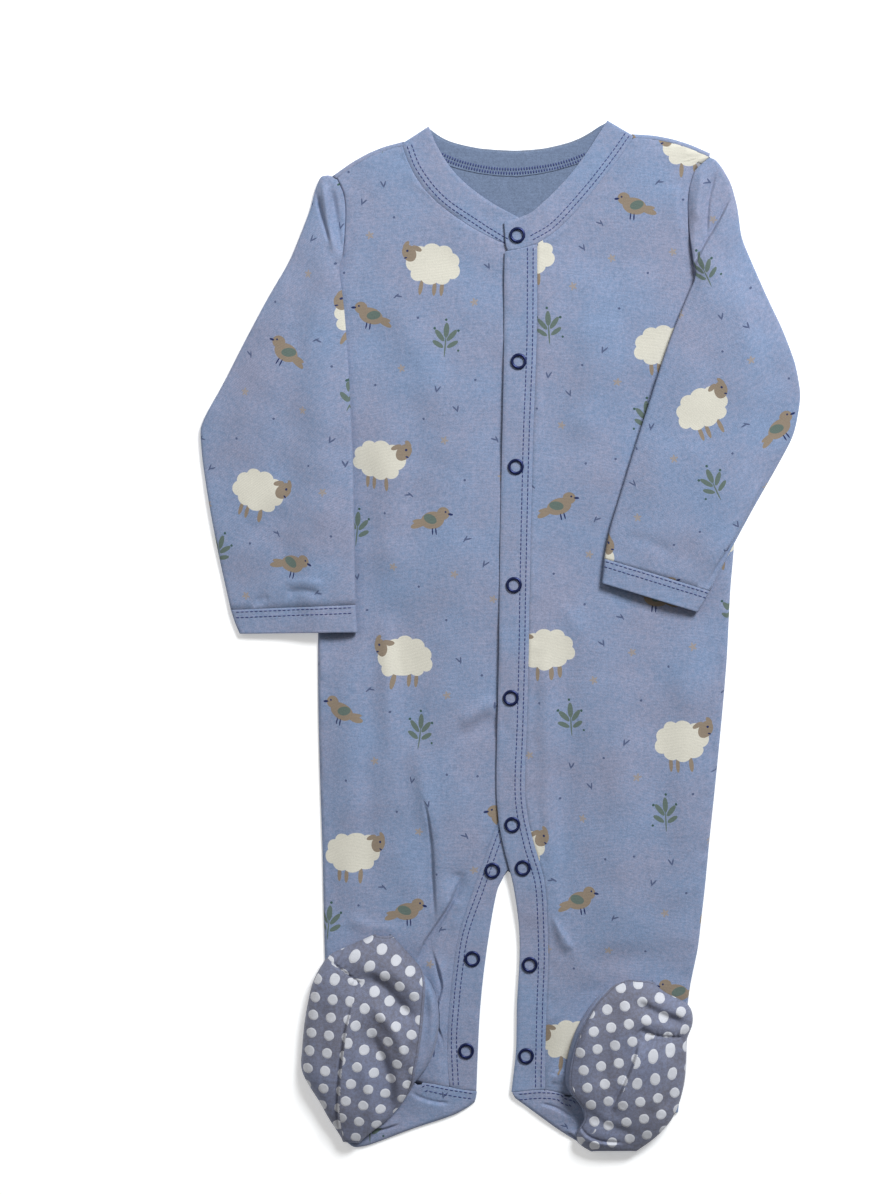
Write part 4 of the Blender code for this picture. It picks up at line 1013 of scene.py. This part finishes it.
class SLEEPSUIT_OT_fronts(bpy.types.Operator):
    """Both fronts, from shoulder to ankle, rolled down along their sides"""

    bl_idname = "sleepsuit.fronts"
    bl_label = "Fronts"

    def execute(self, context):
        cloth = context.scene.sleepsuit_cloth
        for side, cover, creases, origin, turn, seed, flat, area in (
            ("right", "placket_leg_right", FRONT_RIGHT_CREASES, (16, 36), 4, 1.0, (0.127, 0.585), 0.0617),
            ("left", "cuff_left", FRONT_LEFT_CREASES, (33, -34), -3, 2.0, (0.134, 0.605), 0.0662),
        ):
            node = f"front_{side}"
            covers = ("placket_front", "neckband", f"sleeve_{side}", f"foot_{side}", f"heel_{side}", cover)
            finishes = printed(node, origin, turn)
            relief = front_relief(creases, seed, covers)
            obj = cloth_piece(node, cloth.levels, cloth.wall / MM, finishes, relief, creases)
        return {"FINISHED"}


class SLEEPSUIT_OT_bands(bpy.types.Operator):
    """Neckband, both plackets and heels"""

    bl_idname = "sleepsuit.bands"
    bl_label = "Bands and heels"

    def execute(self, context):
        for number, (node, wall, flat, under) in enumerate(
            (
                ("neckband", 1.4, (0.018, 0.34), ("front_right_cloth", "front_left_cloth")),
                ("placket_front", 1.6, (0.02, 0.53), ("front_right_cloth", "back_panel_cloth")),
                ("placket_leg_right", 1.4, (0.018, 0.18), ("back_panel_cloth",)),
                ("heel_right", 1.0, (0.02, 0.09), ()),
                ("heel_left", 1.0, (0.018, 0.068), ()),
            )
        ):
            creases = HEEL_CREASES if "heel" in node else ()
            finishes = printed(node, (17.0 * number, 33.0), 0.0) if creases else plain()
            relief = relief_of("band", creases, 5.0 + number)
            obj = cloth_piece(node, BAND_LEVELS, wall, finishes, relief, creases)
            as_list(under)
        return {"FINISHED"}


class SLEEPSUIT_OT_sleeves(bpy.types.Operator):
    """Both sleeves and cuffs"""

    bl_idname = "sleepsuit.sleeves"
    bl_label = "Sleeves"

    def execute(self, context):
        cloth = context.scene.sleepsuit_cloth
        for node, creases, origin, turn, seed, flat, area in (
            ("sleeve_right", SLEEVE_RIGHT_CREASES, (0.0, 44.0), 20.0, 11.0, (0.19, 0.27), 0.0357),
            ("sleeve_left", SLEEVE_LEFT_CREASES, (-33.0, 58.0), -24.0, 12.0, (0.19, 0.27), 0.0345),
            ("cuff_right", (), None, None, 13.0, (0.155, 0.0165), 0.0025),
            ("cuff_left", (), None, None, 14.0, (0.135, 0.0155), 0.002),
        ):
            finishes = printed(node, origin, turn) if creases else plain()
            relief = relief_of("sleeve" if creases else "band", creases, seed)
            levels = cloth.levels if creases else BAND_LEVELS
            obj = cloth_piece(node, levels, cloth.wall / MM, finishes, relief, creases)
        return {"FINISHED"}


# How the dots of a sole lie: turn and shift of their rows, their shift beyond its main crease, and
# the centre and radius of the rows that fan out there.
SOLE_LAYOUTS = {
    "right": (-6.0, (-2.8, -5.2), (-3.7, -1.9), (129.0, -346.0, 230.0)),
    "left": (12.0, (0.0, 0.0), (3.0, 4.0), None),
}
DRAWN_IN = 3.0  # how far the gathered seam draws the dots in from each side
DRAWN_FROM = 2.5
DRAWN_REACH = 9.0
DRAWN_END = 3.0
OPENED_OVER = 34.0  # length of the main crease over which its two sides part


def lay_out(obj, crease, gather, turn, shift, jump, fan):
    """A flat layout of a sole in metres, parted along its main crease and drawn in at its gathered seam."""
    xy, _, _ = points_of(obj)
    _, side, _, _ = nearest_on(xy, curved((*gather, *crease) if fan else crease))
    pull, which, reached, length = nearest_on(xy, curved(gather))
    drawn = DRAWN_IN * which * (1 - np.exp(-pull / DRAWN_FROM)) * faded(reached, length, DRAWN_END)
    drawn *= np.exp(-((pull / DRAWN_REACH) ** 2))
    angle = math.radians(turn)
    along = np.array((math.cos(angle), math.sin(angle)))
    across = np.array((-math.sin(angle), math.cos(angle)))
    places = np.column_stack((xy @ along, xy @ across + drawn)) + shift
    if fan:
        *centre, radius = fan
        away = xy - centre
        swung = radius * np.arctan2(away[:, 1], -away[:, 0])
        beyond_places = np.column_stack((-np.linalg.norm(away, axis=1), swung + drawn)) + jump
    else:
        opened = smooth((crease[0][1] - xy[:, 1]) / OPENED_OVER)
        beyond_places = places + opened[:, None] * jump
    layer = obj.data.uv_layers.new(name="Layout")
    for face in obj.data.polygons:
        beyond = sum(side[vertex] for vertex in face.vertices) > 0
        for loop in face.loop_indices:
            vertex = obj.data.loops[loop].vertex_index
            u, v = beyond_places[vertex] if beyond else places[vertex]
            layer.data[loop].uv = (u * MM, v * MM)
    rim = obj.data.attributes.new("Rim", "FLOAT", "POINT")
    rim.data.foreach_set("value", edge_distance(obj))


def foot_relief(creases, seed, sole):
    """A folded upper: its own folds, and sunk under the sole so that the sole's folds have room."""

    def relief(xy, z, _):
        rim = sole.data.attributes["Rim"].data
        above = points_tree([(vert.co.x, vert.co.y, 0.0) for vert in sole.data.vertices])
        inside = np.zeros(len(xy))
        for number, (x, y) in enumerate(xy * MM):
            _, nearest, distance = above.find((x, y, 0.0))
            inside[number] = rim[nearest].value if distance < UPPER_BESIDE * MM else 0.0
        heights = creased(xy, creases, seed) + slow_waves(xy, UPPER_WAVES, seed)
        sunk = -UPPER_SUNK * smooth(inside / UPPER_SINKING)
        heights = np.where(inside > 0.0, sunk, np.minimum(heights, UPPER_TOP))
        return heights * smooth((z - 1.5) / 2.0)

    return relief


class SLEEPSUIT_OT_feet(bpy.types.Operator):
    """Folded foot uppers and the dotted soles on them"""

    bl_idname = "sleepsuit.feet"
    bl_label = "Feet"

    def execute(self, context):
        sole = sole_finish("Sole cloth with grip dots", colour("sole"), colour("sole_blue"), colour("dots"))
        inside = bpy.data.materials["Jersey inside"]
        for side, seed, uppers, folds, gather, flat, area in (
            ("right", 21, FOOT_RIGHT_CREASES, SOLE_RIGHT_CREASES, SOLE_RIGHT_GATHER, (0.084, 0.132), 0.0087),
            ("left", 22, FOOT_LEFT_CREASES, SOLE_LEFT_CREASES, SOLE_LEFT_GATHER, (0.076, 0.115), 0.0073),
        ):
            relief = sole_relief(folds, gather, seed)
            sharp = (*folds, (1.0, 1.0, 0.0, *gather))
            finishes = (sole, inside)
            top = cloth_piece(f"sole_{side}", BAND_LEVELS, 1.2, finishes, relief, sharp, slot="sole_cloth")
            lay_out(top, folds[0][3:], gather, *SOLE_LAYOUTS[side])
            relief = foot_relief(uppers, seed, top)
            obj = cloth_piece(f"foot_{side}", 2, 0.0, plain(), relief, uppers, whole=True)
        return {"FINISHED"}


# Topstitching: name, piece it is sewn on, rows by their distance inside its seam, and roughly where
# the seam runs, with the piece on the right of the line.
TOPSTITCHING = (
    ("neckband_stitching_left", "neckband", (2.4, 5.3), (
        (21, 244), (35.6, 253.3), (55.2, 274.7), (71, 294.5), (82, 310),
    )),
    ("neckband_stitching_right", "neckband", (2.4, 5.3), (
        (-60.5, 304), (-53.9, 288), (-38.8, 269.4), (-16.4, 253.6), (2, 242),
    )),
    ("placket_stitching_left", "placket_front", (2.0, 5.5), (
        (27.6, -278), (27.6, -266), (28.6, -224), (29.5, -199), (29, -176), (27.2, -150), (20, -125),
        (15, -97), (16.2, -54), (17.3, -10), (17.9, 30), (18.8, 73), (20.2, 129), (22.2, 182), (22.6, 242),
    )),
    ("placket_stitching_right", "placket_leg_right", (2.1, 5.3), (
        (2, -104), (-6.6, -126), (-15.6, -152), (-25.7, -181), (-29.6, -205.5), (-31.8, -227),
        (-33.2, -249), (-32, -277),
    )),
    ("hem_stitching_right", "heel_right", (2.0, 5.4), ((-50, -275), (-33, -277.5), (-17, -280))),
    ("hem_stitching_left", "heel_left", (2.0, 5.4), ((11, -281), (27, -281), (47, -289))),
    ("cuff_stitching_right", "cuff_right", (1.8, 5.2), ((-164, 17), (-130, 19.5), (-92, 20.5))),
    ("cuff_stitching_left", "cuff_left", (1.8, 5.0), ((65, 49), (84, 46), (104, 39), (128, 28))),
)
BACK_NECK = (
    (54, 297), (45, 293.4), (33.4, 290.1), (21, 288.2), (9.4, 287.2), (-3, 287.6), (-14.8, 289.4),
    (-27, 292.6), (-38, 297),
)
BACK_NECK_LEVEL = 1.8  # between the back neck and what lies over it at its ends
SEAM_SEARCH = 8.0
SEARCH_STEP = 0.2
EVENING_ROUNDS = 6
ABOVE_ALL = 60.0
# Half sizes of a stitch across the row and up, and the wider one of a cover stitch.
STITCH_ACROSS = 0.36
STITCH_UP = 0.24
COVER_ACROSS = 0.52
STITCH_LIFT = 0.08
STEEPEST = 0.35  # upward share of the cloth's normal below which no stitch is laid


def directions(line):
    """Headings of a line, and the directions to its right."""
    heading = np.gradient(line, axis=0)
    heading /= np.linalg.norm(heading, axis=1)[:, None]
    return heading, np.column_stack((heading[:, 1], -heading[:, 0]))


def seam_of(tree, points):
    """The edge of a piece near a line, found from its left side."""
    line = curved(points, 1.0)
    _, inward = directions(line)
    found = []
    for place, way in zip(line, inward):
        for step in np.arange(-SEAM_SEARCH, SEAM_SEARCH, SEARCH_STEP):
            x, y = place + step * way
            if tree.ray_cast(Vector((x, y, ABOVE_ALL)) * MM, -UP)[0] is not None:
                found.append((x, y))
                break
    found = np.array(found)
    for _ in range(EVENING_ROUNDS):
        found[1:-1] = (found[:-2] + 2 * found[1:-1] + found[2:]) / 4
    return found


def along_row(line, inside, pitch):
    """Places and headings of a row of stitches on the right of a line."""
    heading, inward = directions(line)
    line = line + inside * inward
    length = lengths_along(line)
    count = int(length[-1] / pitch)
    for mark in (np.arange(count) + 0.5) * length[-1] / count:
        yield tuple(np.interp(mark, length, values) for values in (*line.T, *heading.T))


def sew(name, tree, line, rows, thread, stitch=2.35, pitch=2.8, upright=False, level=ABOVE_ALL):
    """Rows of short raised stitches, laid on the piece that they are sewn on."""
    bm = bmesh.new()
    for inside in rows:
        for x, y, ahead, sideways in along_row(line, inside, pitch):
            place, normal = tree.ray_cast(Vector((x, y, level)) * MM, -UP)[:2]
            if place is None or normal.z < STEEPEST:
                continue
            along = Vector((-sideways, ahead, 0)) if upright else Vector((ahead, sideways, 0))
            along = (along - normal * along.dot(normal)).normalized()
            turn = Matrix((normal.cross(along), normal, along)).transposed().to_4x4()
            size = Matrix.Diagonal((COVER_ACROSS if upright else STITCH_ACROSS, STITCH_UP, stitch / 2, 1.0))
            lifted = Matrix.Translation(place + normal * STITCH_LIFT * MM)
            bmesh.ops.create_uvsphere(bm, u_segments=6, v_segments=4, radius=MM, matrix=lifted @ turn @ size)
    if not bm.verts:
        raise RuntimeError(f"{name} found nothing to be sewn on")
    return place_in_suit(new_object(name, bm, thread), "jersey")


class SLEEPSUIT_OT_stitching(bpy.types.Operator):
    """Navy topstitching on the bands, cuffs and hems, and the cover stitch of the back neck"""

    bl_idname = "sleepsuit.stitching"
    bl_label = "Stitching"

    def execute(self, context):
        thread = plain_finish("Navy thread", colour("thread"), 0.705)
        depsgraph = context.evaluated_depsgraph_get()
        for name, ground, rows, points in TOPSTITCHING:
            tree = BVHTree.FromObject(bpy.data.objects[f"{ground}_cloth"], depsgraph)
            sew(name, tree, seam_of(tree, points), rows, thread)
        tree = BVHTree.FromObject(bpy.data.objects["neckband_cloth"], depsgraph)
        line = curved(BACK_NECK, 1.0)
        cover = {"stitch": 2.1, "pitch": 1.65, "upright": True, "level": BACK_NECK_LEVEL}
        sew("back_neck_stitching", tree, line, (1.0, 3.5), thread, **cover)
        return {"FINISHED"}


RING_RADIUS = 4.05
RING_WIDTH = 0.9  # half of the width of its band
RING_HEIGHT = 0.6
SNAPS = 12


class SLEEPSUIT_OT_snaps(bpy.types.Operator):
    """Open ring snaps of enamelled metal"""

    bl_idname = "sleepsuit.snaps"
    bl_label = "Snaps"

    def execute(self, context):
        enamel = plain_finish("Navy enamel", colour("enamel"), 0.355, 0.6)
        for number in range(1, SNAPS + 1):
            node = f"snap_{number:02d}"
            low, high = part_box(node)
            bm = bmesh.new()
            made = bmesh.ops.create_circle(bm, segments=10, radius=1.0)["verts"]
            bmesh.ops.rotate(bm, verts=made, cent=(0, 0, 0), matrix=Matrix.Rotation(math.pi / 2, 3, "X"))
            bmesh.ops.scale(bm, verts=made, vec=(RING_WIDTH * MM, 1.0, RING_HEIGHT * MM))
            bmesh.ops.translate(bm, verts=made, vec=(RING_RADIUS * MM, 0, 0))
            whole = {"angle": 2 * math.pi, "steps": 36, "use_merge": True}
            bmesh.ops.spin(bm, geom=bm.verts[:] + bm.edges[:], cent=(0, 0, 0), axis=UP, **whole)
            bmesh.ops.recalc_face_normals(bm, faces=bm.faces)
            if bm.calc_volume(signed=True) < 0:
                bmesh.ops.reverse_faces(bm, faces=bm.faces)
            bmesh.ops.translate(bm, verts=bm.verts, vec=(low + high) / 2)
            place_in_suit(new_object(f"{node}_ring", bm, enamel), "snap_metal", node)
        return {"FINISHED"}


# Lights: name, place, width, share of the light and tint.
LAMPS = (
    ("Window light", (1.0, 1.5, 1.7), 0.8, 1.0, (0.95, 0.98, 1.0)),
    ("Fill light", (-1.4, 0.9, 1.6), 1.8, 0.15, (1.0, 0.97, 0.92)),
)
FLOOR_REACH = 3.0
FLOOR_LEVEL = -0.0002
FLOOR_GLOW = 0.34
WHITE = (1.0, 1.0, 1.0, 1.0)
FLOOR_SHADE = (0.88, 0.88, 0.88, 1.0)
CAMERA_AT = (-0.0326, 0.0254, 1.7494)


class SLEEPSUIT_OT_studio(bpy.types.Operator):
    """Pale floor, soft light and the camera above"""

    bl_idname = "sleepsuit.studio"
    bl_label = "Studio"

    def execute(self, context):
        scene = context.scene
        bm = bmesh.new()
        bmesh.ops.create_grid(bm, x_segments=1, y_segments=1, size=FLOOR_REACH)
        bmesh.ops.translate(bm, verts=bm.verts, vec=(0, 0, FLOOR_LEVEL))
        finish, n, shader = new_material("Pale floor")
        n.fill(shader, {"Base Color": FLOOR_SHADE, "Roughness": 0.9})
        n.fill(shader, {"Emission Color": WHITE, "Emission Strength": FLOOR_GLOW})
        new_object("Floor", bm, finish)

        studio = scene.sleepsuit_studio
        for name, place, size, share, tint in LAMPS:
            lamp = bpy.data.lights.new(name, "AREA")
            lamp.color = tint
            lamp.energy = studio.light * share
            lamp.size = size
            obj = bpy.data.objects.new(name, lamp)
            obj.location = place
            obj.rotation_euler = (-Vector(place)).to_track_quat("-Z", "Y").to_euler()
            scene.collection.objects.link(obj)
        world = bpy.data.worlds.new("Studio")
        world.use_nodes = True
        background = world.node_tree.nodes["Background"]
        background.inputs["Color"].default_value = WHITE
        background.inputs["Strength"].default_value = studio.surroundings
        scene.world = world

        view = bpy.data.cameras.new("Camera")
        view.lens = 85.0
        view.sensor_width = 36.0
        camera = bpy.data.objects.new("Camera", view)
        camera.location = CAMERA_AT
        scene.collection.objects.link(camera)
        scene.camera = camera
        scene.view_settings.view_transform = "Standard"
        return {"FINISHED"}


class SLEEPSUIT_PT_panel(bpy.types.Panel):
    """Pieces of the suit, in the order in which they are made"""

    bl_idname = "SLEEPSUIT_PT_panel"
    bl_label = "Sleepsuit"
    bl_space_type = "VIEW_3D"
    bl_region_type = "UI"
    bl_category = "Sleepsuit"

    def draw(self, context):
        for group in SETTINGS:
            settings = getattr(context.scene, group)
            box = self.layout.box()
            for name in settings.bl_rna.properties.keys():
                if name not in ("rna_type", "name"):
                    box.prop(settings, name)
        for operator in OPERATORS:
            self.layout.operator(operator.bl_idname)


OPERATORS = (
    SLEEPSUIT_OT_finishes,
    SLEEPSUIT_OT_back,
    SLEEPSUIT_OT_fronts,
    SLEEPSUIT_OT_bands,
    SLEEPSUIT_OT_sleeves,
    SLEEPSUIT_OT_feet,
    SLEEPSUIT_OT_snaps,
    SLEEPSUIT_OT_stitching,
    SLEEPSUIT_OT_studio,
)
SETTINGS = {
    "sleepsuit_colours": SleepsuitColours,
    "sleepsuit_cloth": SleepsuitCloth,
    "sleepsuit_studio": SleepsuitStudio,
}


def register():
    for cls in (*SETTINGS.values(), *OPERATORS, SLEEPSUIT_PT_panel):
        bpy.utils.register_class(cls)
    for name, cls in SETTINGS.items():
        setattr(bpy.types.Scene, name, bpy.props.PointerProperty(type=cls))


def unregister():
    for name in SETTINGS:
        delattr(bpy.types.Scene, name)
    for cls in reversed((*SETTINGS.values(), *OPERATORS, SLEEPSUIT_PT_panel)):
        bpy.utils.unregister_class(cls)


def main():
    register()
    for operator in OPERATORS:
        group, name = operator.bl_idname.split(".")
        getattr(getattr(bpy.ops, group), name)()


if __name__ == "__main__":
    main()
